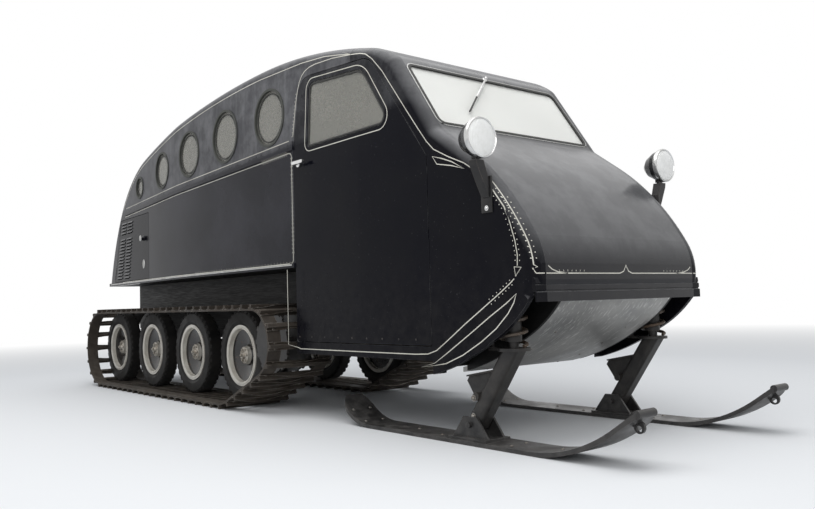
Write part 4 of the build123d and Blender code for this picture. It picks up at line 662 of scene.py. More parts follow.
def tangent_run(start, heading, end, inset, steps):
    """Points along an arc that leaves start on a heading and ends at end, drawn in by an inset."""
    way = Vector(end) - Vector(start)
    normal = Vector((-heading[1], heading[0]))
    radius = way.length_squared / (2.0 * way.dot(normal))
    centre = Vector(start) + normal * radius
    first = Vector(start) - centre
    turn = first.angle_signed(Vector(end) - centre)
    points = []
    for step in range(steps + 1):
        spoke = first.copy()
        spoke.rotate(Matrix.Rotation(-turn * step / steps, 2))
        points.append(tuple(centre + spoke * (1.0 - inset / abs(radius))))
    last = Vector(end) - centre
    leaving = Vector((-last[1], last[0])).normalized()
    if leaving.dot(Vector(end) - Vector(start)) < 0:
        leaving = -leaving
    return points, tuple(leaving)


ROOF_LINE_INSET = 0.068
roof_line, roof_heading = tangent_run(
    (0.2, 2.308), (-1.0, 0.0), (-2.0, 2.065), ROOF_LINE_INSET, 16
)
haunch_line = tangent_run(
    (-2.0, 2.065), roof_heading, (-2.74, 1.59), ROOF_LINE_INSET, 12
)[0]
ROOF_LINE = [
    (1.25, 2.1415), (1.12, 2.172), (0.98, 2.199), (0.72, 2.223), *roof_line, *haunch_line[1:-2],
]
UPPER_BELT = [(0.555, 1.756), (-2.52, 1.66)]
COWL_LINE = [
    (1.253, 2.14), (1.34, 2.124), (1.395, 2.106), (1.456, 2.062), (1.542, 1.972), (1.636, 1.847),
    (1.737, 1.713), (1.824, 1.6), (1.887, 1.521), (1.939, 1.471), (2.046, 1.416), (2.15, 1.37),
    (2.25, 1.305), (2.335, 1.212), (2.402, 1.126), (2.439, 1.046), (2.465, 0.967), (2.477, 0.898),
    (2.474, 0.85),
]
SIDE_FRAME = [
    (-2.545, 1.583), (0.545, 1.677), (0.57, 1.672), (0.582, 1.655), (0.582, 0.989), (0.572, 0.971),
    (0.55, 0.966), (-2.6, 0.966),
]
CHEEK_LINE = [
    (2.452, 0.792), (2.431, 0.775), (2.372, 0.736), (2.274, 0.676), (2.124, 0.585), (1.979, 0.492),
    (1.915, 0.453), (1.85, 0.434), (1.746, 0.43), (0.65, 0.43), (0.618, 0.437), (0.6025, 0.458),
    (0.6025, 0.925),
]
SPUR = [(2.455, 0.846), (2.497, 0.842), (2.462, 0.803)]
LEAF = [
    (1.872, 0.374), (1.999, 0.446), (2.155, 0.538), (2.291, 0.62), (2.4, 0.682), (2.462, 0.724),
    (2.445, 0.683), (2.407, 0.634), (2.331, 0.566), (2.231, 0.502), (2.104, 0.436), (1.984, 0.391),
]
ARROW = [
    (1.928, 1.436), (2.0, 1.414), (2.07, 1.387), (2.155, 1.34), (2.068, 1.368), (1.96, 1.392),
]
for hand, side in HANDS:
    for label, points, panel, closed in (
        ("roof", ROOF_LINE, "side_panel", False),
        ("upper_belt", UPPER_BELT, "side_panel", False),
        ("side_frame", SIDE_FRAME, "side_panel", False),
        ("cowl", COWL_LINE, "cheek_panel", False),
        ("cheek", CHEEK_LINE, "cheek_panel", False),
        ("spur", SPUR, "cheek_panel", True),
        ("leaf", LEAF, "cheek_panel", True),
        ("arrow", ARROW, "cheek_panel", True),
    ):
        add_stripe(
            f"{hand}_{label}_stripe", points, f"{hand}_{panel}", beside(side), closed=closed
        )


# Windows and doors: a rubber strip seals each pane, and a cream line follows the door window.
# A second line runs round the door opening and joins the roof line at the front.
window_rubber = workshop_finish(
    "window_rubber", (0.012, 0.012, 0.012), (0.028, 0.028, 0.026), (0.07, 0.07, 0.065),
    (0.12, 0.115, 0.1), (0.5, 0.72), edges=0.3, dust_strength=0.15, grain=420.0,
)
DOOR_WINDOW = [(0.765, 1.677), (0.8, 2.08), (1.36, 2.035), (1.6, 1.677)]
DOOR_WINDOW_CORNERS = (0.03, 0.05, 0.15, 0.055)
SURROUND = [
    (0.604, 1.776), (0.62, 1.85), (0.634, 1.919), (0.65, 1.99), (0.672, 2.06), (0.694, 2.105),
    (0.722, 2.14), (0.758, 2.162), (0.81, 2.175), (0.88, 2.178), (1.066, 2.166), (1.25, 2.14),
]
SCREEN_MIDDLE = Vector((1.773, 0.0, 1.813))
SCREEN_UP = Vector((1.62 - 1.926, 0.0, 2.035 - 1.591)).normalized()


def rounded_outline(corners, radii, outset=0.0, steps=8):
    """A closed outline with rounded corners, moved outwards by an outset."""
    points = []
    for n, corner in enumerate(corners):
        here = Vector(corner)
        back = (Vector(corners[n - 1]) - here).normalized()
        on = (Vector(corners[(n + 1) % len(corners)]) - here).normalized()
        half = back.angle(on) / 2
        centre = here + (back + on).normalized() * radii[n] / math.sin(half)
        first = here + back * radii[n] / math.tan(half) - centre
        last = here + on * radii[n] / math.tan(half) - centre
        turn = first.angle_signed(last)
        for step in range(steps + 1):
            spoke = first.copy()
            spoke.rotate(Matrix.Rotation(-turn * step / steps, 2))
            points.append(tuple(centre + spoke * (radii[n] + outset) / radii[n]))
    return points


def add_bead(ring, material, body, thickness):
    """Gives a flat ring a rounded section."""
    stiffen(ring, thickness)
    work(ring, "BEVEL", width=thickness * 0.32, segments=2, limit_method="ANGLE")
    return close_piece(ring, material, body)


for hand, side in HANDS:
    door = f"{hand}_door"
    outline = rounded_outline(DOOR_WINDOW, DOOR_WINDOW_CORNERS, 0.024)
    add_stripe(
        f"{hand}_window_stripe", outline, door, beside(side), f"{door}_body", closed=True
    )
    add_stripe(f"{hand}_door_surround_stripe", SURROUND, f"{hand}_side_panel", beside(side))
    outline = rounded_outline(DOOR_WINDOW, DOOR_WINDOW_CORNERS, -0.0105)
    seal = add_line(f"{hand}_door_seal", outline, True)
    widen(seal, 0.011)
    cut_at_stations(seal)
    press_on(seal, f"{hand}_door_glass", beside(side), lift=0.004)
    add_bead(seal, window_rubber, f"{door}_body", 0.007)

screen_turn = Matrix((Vector((0.0, 1.0, 0.0)), SCREEN_UP, Vector((0.0, 1.0, 0.0)).cross(SCREEN_UP)))
screen_turn = Matrix.Translation(SCREEN_MIDDLE) @ screen_turn.transposed().to_4x4()
SCREEN_CORNERS = [(-0.6, -0.225), (-0.6, 0.225), (0.6, 0.225), (0.6, -0.225)]
bright_strip = workshop_finish(
    "bright_strip", (0.5, 0.5, 0.49), (0.34, 0.34, 0.33), (0.62, 0.62, 0.6),
    (0.26, 0.25, 0.23), (0.22, 0.42), metallic=0.85, cloud_scale=22.0, edges=0.4,
    dust_strength=0.1, depth=0.0002,
)
for name, outset, width, thickness, material, slot in (
    ("screen_seal", 0.002, 0.018, 0.008, window_rubber, "rubber_trim"),
    ("screen_strip", 0.0145, 0.007, 0.0045, bright_strip, "bright_trim"),
):
    ring = add_line(name, rounded_outline(SCREEN_CORNERS, (0.04,) * 4, outset), True)
    widen(ring, width)
    ring.data.transform(screen_turn @ Matrix.Translation((0.0, 0.0, 0.0005)))
    add_bead(ring, material, "coach", thickness)
foot_strip = add_line("screen_foot_strip", [(-0.598, -0.2305), (0.598, -0.2305)])
widen(foot_strip, 0.01)
foot_strip.data.transform(screen_turn)
add_bead(foot_strip, window_rubber, "coach", 0.007)


# Lines on the nose: the striping goes down inside both edges and across above the rail.
# It rises to a small peak in the middle, and rows of dots run beside it.
DOT_RADIUS = 0.0028
FRONT_PLANE = 2.7
FACE_FORWARD = Matrix.Rotation(math.radians(90.0), 4, "Z") @ PUT_UPRIGHT
ON_FRONT = ("X", 1, Matrix.Translation((FRONT_PLANE, 0.0, 0.0)) @ FACE_FORWARD)


def gather(name, loose):
    """Joins like pieces into one."""
    bpy.ops.object.select_all(action="DESELECT")
    for piece in loose:
        piece.select_set(True)
    bpy.context.view_layer.objects.active = loose[0]
    bpy.ops.object.join()
    loose[0].name = name
    return loose[0]


def repeat(name, first, places):
    """Copies of one piece, each with its own mesh, set in their places and joined."""
    copies = []
    for place in places:
        mesh = first.data.copy()
        mesh.transform(place)
        copies.append(new_object(name, mesh))
    bpy.data.objects.remove(first)
    return gather(name, copies)


def row_of_dots(name, points, panel, way, away=0.013, pitch=0.026, rows=(1, -1)):
    """Rows of small enamel dots, one on each side of a line."""
    places = []
    for first, second in zip(points, points[1:]):
        run = Vector((*second, 0.0)) - Vector((*first, 0.0))
        count = max(1, round(run.length / pitch))
        offset = Vector((-run.y, run.x, 0.0)).normalized() * away
        for n in range(count):
            middle = Vector((*first, 0.0)) + run * n / count
            places += [Matrix.Translation(middle + offset * row) for row in rows]
    bpy.ops.object.select_all(action="DESELECT")
    bpy.ops.mesh.primitive_circle_add(vertices=7, radius=DOT_RADIUS, fill_type="NGON")
    row = repeat(name, bpy.context.object, places)
    press_on(row, panel, way)
    stiffen(row, 0.0008)
    return close_piece(row, pinstripe_enamel, "coach", smooth=None)


NOSE_FOOT = [
    (-0.6, 0.812), (-0.4, 0.812), (-0.2, 0.812), (-0.05, 0.812), (-0.02, 0.822), (0.0, 0.852),
    (0.02, 0.822), (0.05, 0.812), (0.2, 0.812), (0.4, 0.812), (0.6, 0.812),
]
NOSE_EDGE = [(0.664, 0.85 + 0.035 * n) for n in range(13)]
NOSE_CORNER = [(0.612 + 0.009 * n, 0.812) for n in range(6)]
NOSE_SPUR = [(0.664, 0.85), (0.65, 0.84), (0.668, 0.834), (0.657, 0.812)]
NOSE_SWEEP = [(0.585, 0.846), (0.56, 0.83), (0.52, 0.818), (0.45, 0.812)]
add_stripe("nose_foot_stripe", NOSE_FOOT, "nose_panel", ON_FRONT)
for hand, side in HANDS:
    cheek = f"{hand}_cheek_panel"
    wall = f"{hand}_side_panel"
    for label, points, panel, width in (
        ("edge", NOSE_EDGE, cheek, 0.0038),
        ("corner", NOSE_CORNER, cheek, STRIPE_WIDTH),
        ("spur", NOSE_SPUR, cheek, 0.0035),
        ("sweep", NOSE_SWEEP, "nose_panel", STRIPE_WIDTH),
    ):
        points = [(side * across, upward) for across, upward in points]
        add_stripe(f"{hand}_nose_{label}_stripe", points, panel, ON_FRONT, width=width)
    edge = [(side * 0.66, 0.88), (side * 0.66, 1.2)]
    foot = [(side * 0.54, 0.824), (side * 0.3, 0.824)]
    on_side = beside(side)
    for label, points, panel, way, spacing in (
        ("cheek", CHEEK_LINE[1:4], cheek, on_side, {}),
        ("cowl", COWL_LINE[-6:], cheek, on_side, {}),
        ("nose_edge", edge, cheek, ON_FRONT, {"away": 0.009}),
        ("surround", SURROUND[:5], wall, on_side, {"away": 0.012, "rows": (1,)}),
        ("frame", [(0.22, 1.667), (0.545, 1.677)], wall, on_side, {"away": 0.011}),
        ("upright", [(0.582, 1.64), (0.582, 1.01)], wall, on_side, {"away": 0.011}),
        (
            "skirt", [(0.54, 0.966), (-0.9, 0.966)], wall, on_side,
            {"away": 0.011, "pitch": 0.04, "rows": (-1,)},
        ),
        ("nose_foot", foot, "nose_panel", ON_FRONT, {"away": 0.001, "pitch": 0.03}),
    ):
        row_of_dots(f"{hand}_{label}_dots", points, panel, way, **spacing)


# Headlamps: a black enamelled bucket, a rolled chrome bezel and a fluted, slightly domed lens.
# The bracket is bolted to the cheek through a steel foot plate.
MIRROR_X = 2.334
lamp_enamel, tree = new_material("lamp_enamel")
forward = split(tree, object_place(tree))["X"]
reflector_and_painted_glare = ramp(tree, forward, MIRROR_X - LINE_BLUR, MIRROR_X + LINE_BLUR)
mottled = add_effect(tree, cloud_effect, Scale=30.0, Low=0.4, High=0.7)
worn = add_effect(tree, edge_effect, Reach=0.003, Strength=0.4)
colour = tint(tree, mottled, (0.008, 0.008, 0.009), (0.02, 0.02, 0.02))
colour = tint(tree, worn, colour, (0.2, 0.19, 0.18))
# Ahead of the mirror line the reflector is near-white and only a quarter metallic: a real bright
# reflector, with painted reflection of the white surroundings.
colour = tint(tree, reflector_and_painted_glare, colour, (0.96, 0.96, 0.94))
rough = ramp(tree, mottled, 0.0, 1.0, 0.16, 0.32)
half_mirror = reckon(tree, "MULTIPLY", reflector_and_painted_glare, 0.25)
height = add_effect(tree, grain_effect, Scale=400.0, Coarse=60.0, Share=0.5)
close_painted(tree, colour, rough, uneven(tree, height, 0.0004, 0.4), Metallic=half_mirror)
dress(lamp_enamel, "headlamps")

fluted_glass, tree = new_material("fluted_glass")
flutes = add_node(
    tree, "ShaderNodeTexWave", {"Vector": object_place(tree), "Scale": 38.0, "Distortion": 0.0},
    bands_direction="Y", wave_profile="SIN",
)
mottled = add_effect(tree, cloud_effect, Scale=40.0, Low=0.4, High=0.75)
# The lens is near-white and lets little light through: painted reflection of the bright surroundings.
colour = tint(tree, mottled, (1.0, 1.0, 0.98), (0.93, 0.93, 0.9))
rough = ramp(tree, mottled, 0.0, 1.0, 0.03, 0.12)
normal = uneven(tree, flutes.outputs[0], 0.002, 0.7)
close_painted(tree, colour, rough, normal, Transmission_Weight=0.12, IOR=1.4)
dress(fluted_glass, "headlamp_lenses")
ORIGIN = Vector((0.0, 0.0, 0.0))
UPWARD = Vector((0.0, 0.0, 1.0))


def spin_profile(name, profile, steps, centre=ORIGIN, axis=UPWARD):
    """A round piece: its profile, as distance along the axis and radius, spun a full turn."""
    along = Vector(axis).normalized()
    across = along.orthogonal().normalized()
    spots = [Vector(centre) + along * reach + across * radius for reach, radius in profile]
    mesh = bpy.data.meshes.new(name)
    mesh.from_pydata(spots, [(n, n + 1) for n in range(len(spots) - 1)], [])
    piece = new_object(name, mesh)
    hold(piece)
    bpy.ops.object.mode_set(mode="EDIT")
    bpy.ops.mesh.select_all(action="SELECT")
    bpy.ops.mesh.spin(steps=steps, angle=math.radians(360.0), center=centre, axis=along)
    bpy.ops.mesh.select_all(action="SELECT")
    bpy.ops.mesh.remove_doubles(threshold=0.00002)
    bpy.ops.mesh.normals_make_consistent(inside=False)
    bpy.ops.object.mode_set(mode="OBJECT")
    return piece


def dome_bolt(name, radius, height, steps, spot=ORIGIN, outward=UPWARD):
    """A bolt with a washer and a domed head, standing on a surface."""
    profile = [
        (-0.001, radius * 1.5), (0.0012, radius * 1.5), (0.0016, radius * 1.02),
        (height * 0.55, radius), (height * 0.85, radius * 0.72), (height, 0.0),
    ]
    return spin_profile(name, profile, steps, spot, outward)


def add_block(name, first, second, turn=0.0):
    """A plain block between two corners, turned about its upright line, to be shaped further."""
    bpy.ops.object.select_all(action="DESELECT")
    middle = [(a + b) / 2 for a, b in zip(first, second)]
    bpy.ops.mesh.primitive_cube_add(size=1.0, location=middle)
    block = bpy.context.object
    block.name = name
    block.scale = [abs(b - a) for a, b in zip(first, second)]
    block.rotation_euler = (0.0, 0.0, turn)
    bpy.ops.object.transform_apply(location=True, rotation=True, scale=True)
    return block


LAMP_X, LAMP_Y, LAMP_Z = (2.345, 0.751, 1.453)
BRACKET_X = 2.303
BEZEL_PROFILE = [
    (-0.021, 0.0935), (-0.012, 0.0965), (-0.002, 0.0968), (0.004, 0.0945), (0.0055, 0.0915),
    (0.0035, 0.0885), (-0.001, 0.087),
]
DOME_PROFILE = [
    (0.0008, 0.0875), (0.008, 0.077), (0.0135, 0.058), (0.0165, 0.038), (0.018, 0.018),
    (0.0184, 0.0),
]
CLAMP_PROFILE = [(-0.012, 0.0165), (-0.012, 0.0225), (0.012, 0.0225), (0.012, 0.0165)]
for hand, side in HANDS:
    centre = (LAMP_X, side * LAMP_Y, LAMP_Z)
    bezel = spin_profile(f"{hand}_lamp_bezel", BEZEL_PROFILE, 56, centre, (1.0, 0.0, 0.0))
    stiffen(bezel, 0.0014)
    close_piece(bezel, bright_chrome, "coach")
    dome = spin_profile(f"{hand}_lamp_dome", DOME_PROFILE, 56, centre, (1.0, 0.0, 0.0))
    stiffen(dome, 0.0024)
    close_piece(dome, fluted_glass, "coach", smooth=60.0)
    foot = add_block(
        f"{hand}_lamp_foot", (2.268, side * 0.6875 - 0.006, 1.1075),
        (2.338, side * 0.6875 + 0.006, 1.2825), -side * math.atan(0.02 / 1.322),
    )
    work(foot, "BEVEL", width=0.0035, segments=3)
    close_piece(foot, black_steel, "coach")
    bolts = [
        dome_bolt(
            f"{hand}_lamp_bolt", 0.0085, 0.009, 12, (BRACKET_X, side * 0.6925, height),
            (0.015, side, 0.0),
        )
        for height in (1.13, 1.262)
    ]
    bolts = gather(f"{hand}_lamp_bolts", bolts)
    close_piece(bolts, bright_chrome, "coach", smooth=50.0)
    centre = (BRACKET_X, side * LAMP_Y, 1.372)
    clamp = spin_profile(f"{hand}_lamp_clamp", CLAMP_PROFILE, 24, centre)
    stiffen(clamp, 0.003)
    close_piece(clamp, black_steel, "coach")


# Tracks: two rubber and canvas belts on each side, joined by pressed steel cross links.
# Every link is a plate bolted through both belts, bowed out in the middle to cradle the tyres.
SPROCKET = (0.275, 0.4603)
FRONT_WHEEL = (FRONT_WHEEL_X, WHEEL_Z)
REAR_WHEEL_X = FRONT_WHEEL_X - 3 * WHEEL_PITCH
BELT_OUT_BIG = 0.3298
BELT_OUT_SMALL = 0.2273
LINK_COUNT = 62
LINK_HALF_ACROSS = 0.24
LINK_WIDTH = 0.056
LINK_WAIST = 0.014
LINK_BOW = 0.0165
LINK_BOW_END = 0.62
LINK_ROLL = 0.004
BELT_MIDDLE = 0.1925
span = math.dist(SPROCKET, FRONT_WHEEL)
drop = BELT_OUT_BIG - BELT_OUT_SMALL
lean = math.asin(drop / span) + math.atan2(SPROCKET[1] - WHEEL_Z, SPROCKET[0] - FRONT_WHEEL_X)
leaving_wheel = (
    FRONT_WHEEL_X + BELT_OUT_BIG * math.sin(lean), WHEEL_Z - BELT_OUT_BIG * math.cos(lean)
)
# Each run of the belt's outer face: its length, its start or centre, its radius and its angle.
BELT_RUNS = [
    (SPROCKET[0] - REAR_WHEEL_X, (SPROCKET[0], SPROCKET[1] + BELT_OUT_SMALL), 0.0, math.pi),
    (math.pi * BELT_OUT_BIG, (REAR_WHEEL_X, WHEEL_Z), BELT_OUT_BIG, math.pi / 2),
    (FRONT_WHEEL_X - REAR_WHEEL_X, (REAR_WHEEL_X, WHEEL_Z - BELT_OUT_BIG), 0.0, 0.0),
    (lean * BELT_OUT_BIG, FRONT_WHEEL, BELT_OUT_BIG, -math.pi / 2),
    (math.sqrt(span**2 - drop**2), leaving_wheel, 0.0, lean),
    ((math.pi - lean) * BELT_OUT_SMALL, SPROCKET, BELT_OUT_SMALL, lean - math.pi / 2),
]


def belt_place(distance, side):
    """Where a link sits on the belt: its place and the way its back faces."""
    for length, (x, z), radius, angle in BELT_RUNS:
        if distance <= length:
            break
        distance -= length
    if radius:
        outward = angle + distance / radius
        x += radius * math.cos(outward)
        z += radius * math.sin(outward)
    else:
        outward = angle - math.pi / 2
        x += distance * math.cos(angle)
        z += distance * math.sin(angle)
    return Matrix.Translation((x, side * TRACK_Y, z)) @ Matrix.Rotation(math.pi / 2 - outward, 4, "Y")


link_steel = workshop_finish(
    "link_steel", (0.11, 0.095, 0.08), (0.06, 0.045, 0.035), (0.52, 0.5, 0.46),
    (0.24, 0.21, 0.175), (0.3, 0.6), metallic=0.75, cloud_scale=14.0, edges=1.0,
    edge_reach=0.006, dust_height=0.95, dust_strength=0.3, depth=0.0008,
)


def pressed_link():
    """One cross link, lying flat: a plate across both belts, bowed out between them."""
    bpy.ops.object.select_all(action="DESELECT")
    bpy.ops.mesh.primitive_grid_add(x_subdivisions=4, y_subdivisions=12, size=1.0)
    plate = bpy.context.object
    for vertex in plate.data.vertices:
        along, across = vertex.co.x, vertex.co.y * 2.0
        middle = max(0.0, 1.0 - (abs(across) / LINK_BOW_END) ** 2)
        rolled = LINK_ROLL * ((along * 2.0) ** 2 - max(0.0, abs(across) - 0.9) * 10.0)
        vertex.co.x = along * (LINK_WIDTH - LINK_WAIST * middle)
        vertex.co.y = across * (LINK_HALF_ACROSS - 0.0015)
        vertex.co.z = 0.0025 + LINK_BOW * middle + rolled
    stiffen(plate, 0.0032)
    return plate


def link_bolts():
    """The four carriage bolts of one link, two through each belt."""
    heads = [
        dome_bolt("link_bolt", 0.0065, 0.0055, 6, (along, across, 0.0055))
        for across in (-BELT_MIDDLE, BELT_MIDDLE)
        for along in (-0.0185, 0.0185)
    ]
    return gather("link_bolts", heads)


belt_length = sum(run[0] for run in BELT_RUNS)
for hand, side in HANDS:
    places = [belt_place(belt_length * (n + 0.001) / LINK_COUNT, side) for n in range(LINK_COUNT)]
    plates = repeat(f"{hand}_track_links", pressed_link(), places)
    close_piece(plates, link_steel, "coach", smooth=50.0)
    bolts = repeat(f"{hand}_track_bolts", link_bolts(), places)
    close_piece(bolts, link_steel, "coach", smooth=50.0)


# Tyres: cross-country rubber with square blocks round both shoulders and a smooth wall.
# The blocks are moulded with the tyre, 36 to a side.
WHEEL_MIDDLES = [FRONT_WHEEL_X - WHEEL_PITCH * n for n in range(4)]
BLOCKS_A_SIDE = 36


def shoulder_block():
    """One tread block on the outer shoulder of a tyre that stands at the origin, at its top."""
    block = add_block("shoulder_block", (-0.017, 0.034, 0.29625), (0.017, 0.055, 0.31675))
    for vertex in block.data.vertices:
        if vertex.co.z > 0.307:
            vertex.co.x *= 0.82
            vertex.co.y = min(vertex.co.y, 0.0505)
    work(block, "BEVEL", width=0.002, segments=1)
    return block


for hand, side in HANDS:
    places = [
        Matrix.Translation((middle, side * TRACK_Y, WHEEL_Z))
        @ Matrix.Rotation(math.radians(360.0 * (n + shift) / BLOCKS_A_SIDE), 4, "Y")
        @ Matrix.Rotation(flip, 4, "Z")
        for middle in WHEEL_MIDDLES
        for shift, flip in ((0.0, 0.0), (0.5, math.pi))
        for n in range(BLOCKS_A_SIDE)
    ]
    blocks = repeat(f"{hand}_tread_blocks", shoulder_block(), places)
    close_piece(blocks, tyre_rubber, "coach")


# Wheel fittings: a hub plate held by six nuts round the greased axle nut.
# A bead painted cream runs round the edge of each rim.
hub_steel = workshop_finish(
    "hub_steel", (0.42, 0.4, 0.36), (0.25, 0.22, 0.18), (0.6, 0.58, 0.54),
    (0.16, 0.13, 0.1), (0.25, 0.5), metallic=0.8, cloud_scale=30.0, dust_strength=0.4,
)
ALONG_AXLE = (0.0, 1.0, 0.0)
NUT_CIRCLE = 0.044
FLANGE_PROFILE = [
    (0.0225, 0.0), (0.0225, 0.058), (0.0245, 0.0605), (0.0265, 0.058), (0.0275, 0.03),
    (0.029, 0.028), (0.044, 0.024), (0.046, 0.022), (0.046, 0.0),
]
RING_PROFILE = [
    (0.046, 0.1885), (0.051, 0.1895), (0.0545, 0.193), (0.0555, 0.198), (0.0545, 0.203),
]


def wheel_hub():
    """The hub of a wheel at the origin that faces along +Y: flange, cap and axle nut."""
    parts = [spin_profile("hub_flange", FLANGE_PROFILE, 28, axis=ALONG_AXLE)]
    for n in range(6):
        angle = n * math.pi / 3
        spot = (NUT_CIRCLE * math.cos(angle), 0.0262, NUT_CIRCLE * math.sin(angle))
        parts.append(dome_bolt("hub_nut", 0.0075, 0.011, 6, spot, ALONG_AXLE))
    parts.append(dome_bolt("axle_nut", 0.013, 0.014, 6, (0.0, 0.045, 0.0), ALONG_AXLE))
    return gather("wheel_hub", parts)


def rim_ring():
    """The bead round the rim's edge of a wheel at the origin that faces along +Y."""
    ring = spin_profile("rim_ring", RING_PROFILE, 48, axis=ALONG_AXLE)
    stiffen(ring, 0.0016)
    return ring


for hand, side in HANDS:
    facing = Matrix.Rotation(math.pi if side < 0 else 0.0, 4, "Z")
    places = [
        Matrix.Translation((middle, side * TRACK_Y, WHEEL_Z)) @ facing for middle in WHEEL_MIDDLES
    ]
    hubs = repeat(f"{hand}_wheel_hubs", wheel_hub(), places)
    close_piece(hubs, hub_steel, "coach")
    rings = repeat(f"{hand}_rim_rings", rim_ring(), places)
    close_piece(rings, wheel_paint, "coach", smooth=50.0)


# Portholes: five round panes on each side, in rims of black rubber.
# Inside each rim a soft lip is pressed flat on the glass.
PORTHOLES = (
    (0.309, 1.956, 0.18), (-0.334, 1.946, 0.18), (-0.956, 1.918, 0.168), (-1.534, 1.874, 0.142),
    (-2.12, 1.806, 0.084),
)
LIP_INSET = 0.019
for hand, side in HANDS:
    for number, (along, height, radius) in enumerate(PORTHOLES, start=1):
        circle = []
        for n in range(48):
            angle = math.radians(7.5 * n)
            reach = radius - LIP_INSET
            circle.append((along + reach * math.cos(angle), height + reach * math.sin(angle)))
        lip = add_line(f"{hand}_porthole_lip_{number}", circle, True)
        widen(lip, 0.008)
        press_on(lip, "porthole_glass", beside(side), lift=0.0035)
        add_bead(lip, window_rubber, "coach", 0.006)


# Wiper: a chromed arm hangs from its motor shaft at the top of the screen.
# It carries a channel with a rubber blade, parked across the middle of the glass.
WIPER_LEAN = Matrix.Rotation(math.radians(-44.0), 4, "Z")
WIPER_TURN = screen_turn @ Matrix.Translation((0.0, 0.236, 0.0)) @ WIPER_LEAN
ARM = ((-0.006, -0.28, 0.0155), (0.006, 0.012, 0.0205))
CHANNEL = ((-0.005, -0.47, 0.0085), (0.005, -0.08, 0.015))
BLADE = ((-0.0022, -0.468, 0.0016), (0.0022, -0.082, 0.0088))
for name, corners, material, slot, rounding in (
    ("wiper_arm", ARM, bright_chrome, "bright_trim", 0.002),
    ("wiper_channel", CHANNEL, black_steel, "bright_trim", 0.0018),
    ("wiper_blade", BLADE, window_rubber, "rubber_trim", 0.0009),
):
    bar = add_block(name, *corners)
    work(bar, "BEVEL", width=rounding, segments=3)
    bar.data.transform(WIPER_TURN)
    close_piece(bar, material, "coach")
    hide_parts("wiper")
BOSS_PROFILE = [
    (-0.004, 0.0), (-0.004, 0.017), (0.006, 0.015), (0.009, 0.0095), (0.021, 0.0085),
    (0.0235, 0.006), (0.0245, 0.0),
]
boss = spin_profile("wiper_boss", BOSS_PROFILE, 28)
boss.data.transform(WIPER_TURN)
close_piece(boss, bright_chrome, "coach")
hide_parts("wiper")


# Body trim: a half-round strip along the foot of each side, and on each engine door
# a bare oval plate and a turned cap over the latch. Doors are hung with round-headed screws.
OUTSIDE = 0.9
INSIDE = 0.6


def hit_side(node, along, height, side):
    """Where a line from beside the coach meets a node."""
    inward = Vector((0.0, -float(side), 0.0))
    return nodes[node].ray_cast(Vector((along, side * OUTSIDE, height)), inward)


def lay_at(spot, facing):
    """The move that lays a piece on a surface at a spot."""
    return Matrix.Translation(spot) @ UPWARD.rotation_difference(facing).to_matrix().to_4x4()


def side_screws(name, spots, panel, body, side, radius, material=black_steel):
    """Round-headed screws on one side of the coach. Those that miss their node stay inside."""
    flip = Matrix.Rotation(math.radians(90.0 * -side), 4, "X")
    places = []
    for along, height in spots:
        hit = hit_side(panel, along, height, side)
        depth = hit[1].y if hit[0] else side * INSIDE
        places.append(Matrix.Translation((along, depth, height)) @ flip)
    screws = repeat(name, dome_bolt(name, radius, radius * 0.75, 8), places)
    return close_piece(screws, material, body, smooth=50.0)


SKIRT_LINE = [(0.58, 0.957), (-1.2, 0.957), (-2.98, 0.957)]
PLATE_PROFILE = [
    (0.0, 0.0), (0.0024, 0.0), (0.0024, 0.027), (0.0034, 0.0285), (0.0034, 0.031), (0.0, 0.033),
]
CAP_PROFILE = [
    (0.0, 0.0255), (0.003, 0.0262), (0.006, 0.024), (0.008, 0.016), (0.0085, 0.004), (0.011, 0.0),
]
LATCH_X = -2.03
for hand, side in HANDS:
    strip = add_line(f"{hand}_skirt_strip", SKIRT_LINE)
    widen(strip, 0.009)
    cut_at_stations(strip)
    press_on(strip, f"{hand}_side_panel", beside(side), lift=0.0022)
    add_bead(strip, bright_strip, "coach", 0.004)
    engine_door = f"{hand}_engine_door"
    plate = spin_profile(f"{hand}_oval_plate", PLATE_PROFILE, 40)
    plate.data.transform(Matrix.Diagonal((0.8, 1.25, 1.0, 1.0)))
    cap = spin_profile(f"{hand}_latch_cap", CAP_PROFILE, 32)
    for fitting, height in ((plate, 1.11), (cap, 1.34)):
        hit = hit_side(engine_door, LATCH_X, height, side)
        fitting.data.transform(lay_at(hit[1], hit[2]))
        close_piece(fitting, bright_strip, f"{engine_door}_body")


# Door handles: each chromed lever turns in a narrow plate held by two screws.
# Nine more screws run along the foot of each door.
HANDLE_SPOTS = [(0.675, 1.565), (0.675, 1.615)]
DOOR_FOOT = [(0.64 + 0.14 * n, 0.505) for n in range(9)]
for hand, side in HANDS:
    handle = f"{hand}_door_handle"
    body = f"{hand}_door_body"
    side_screws(f"{hand}_handle_screws", HANDLE_SPOTS, handle, body, side, 0.003, bright_chrome)
    side_screws(f"{hand}_door_screws", DOOR_FOOT, f"{hand}_door", body, side, 0.0036)


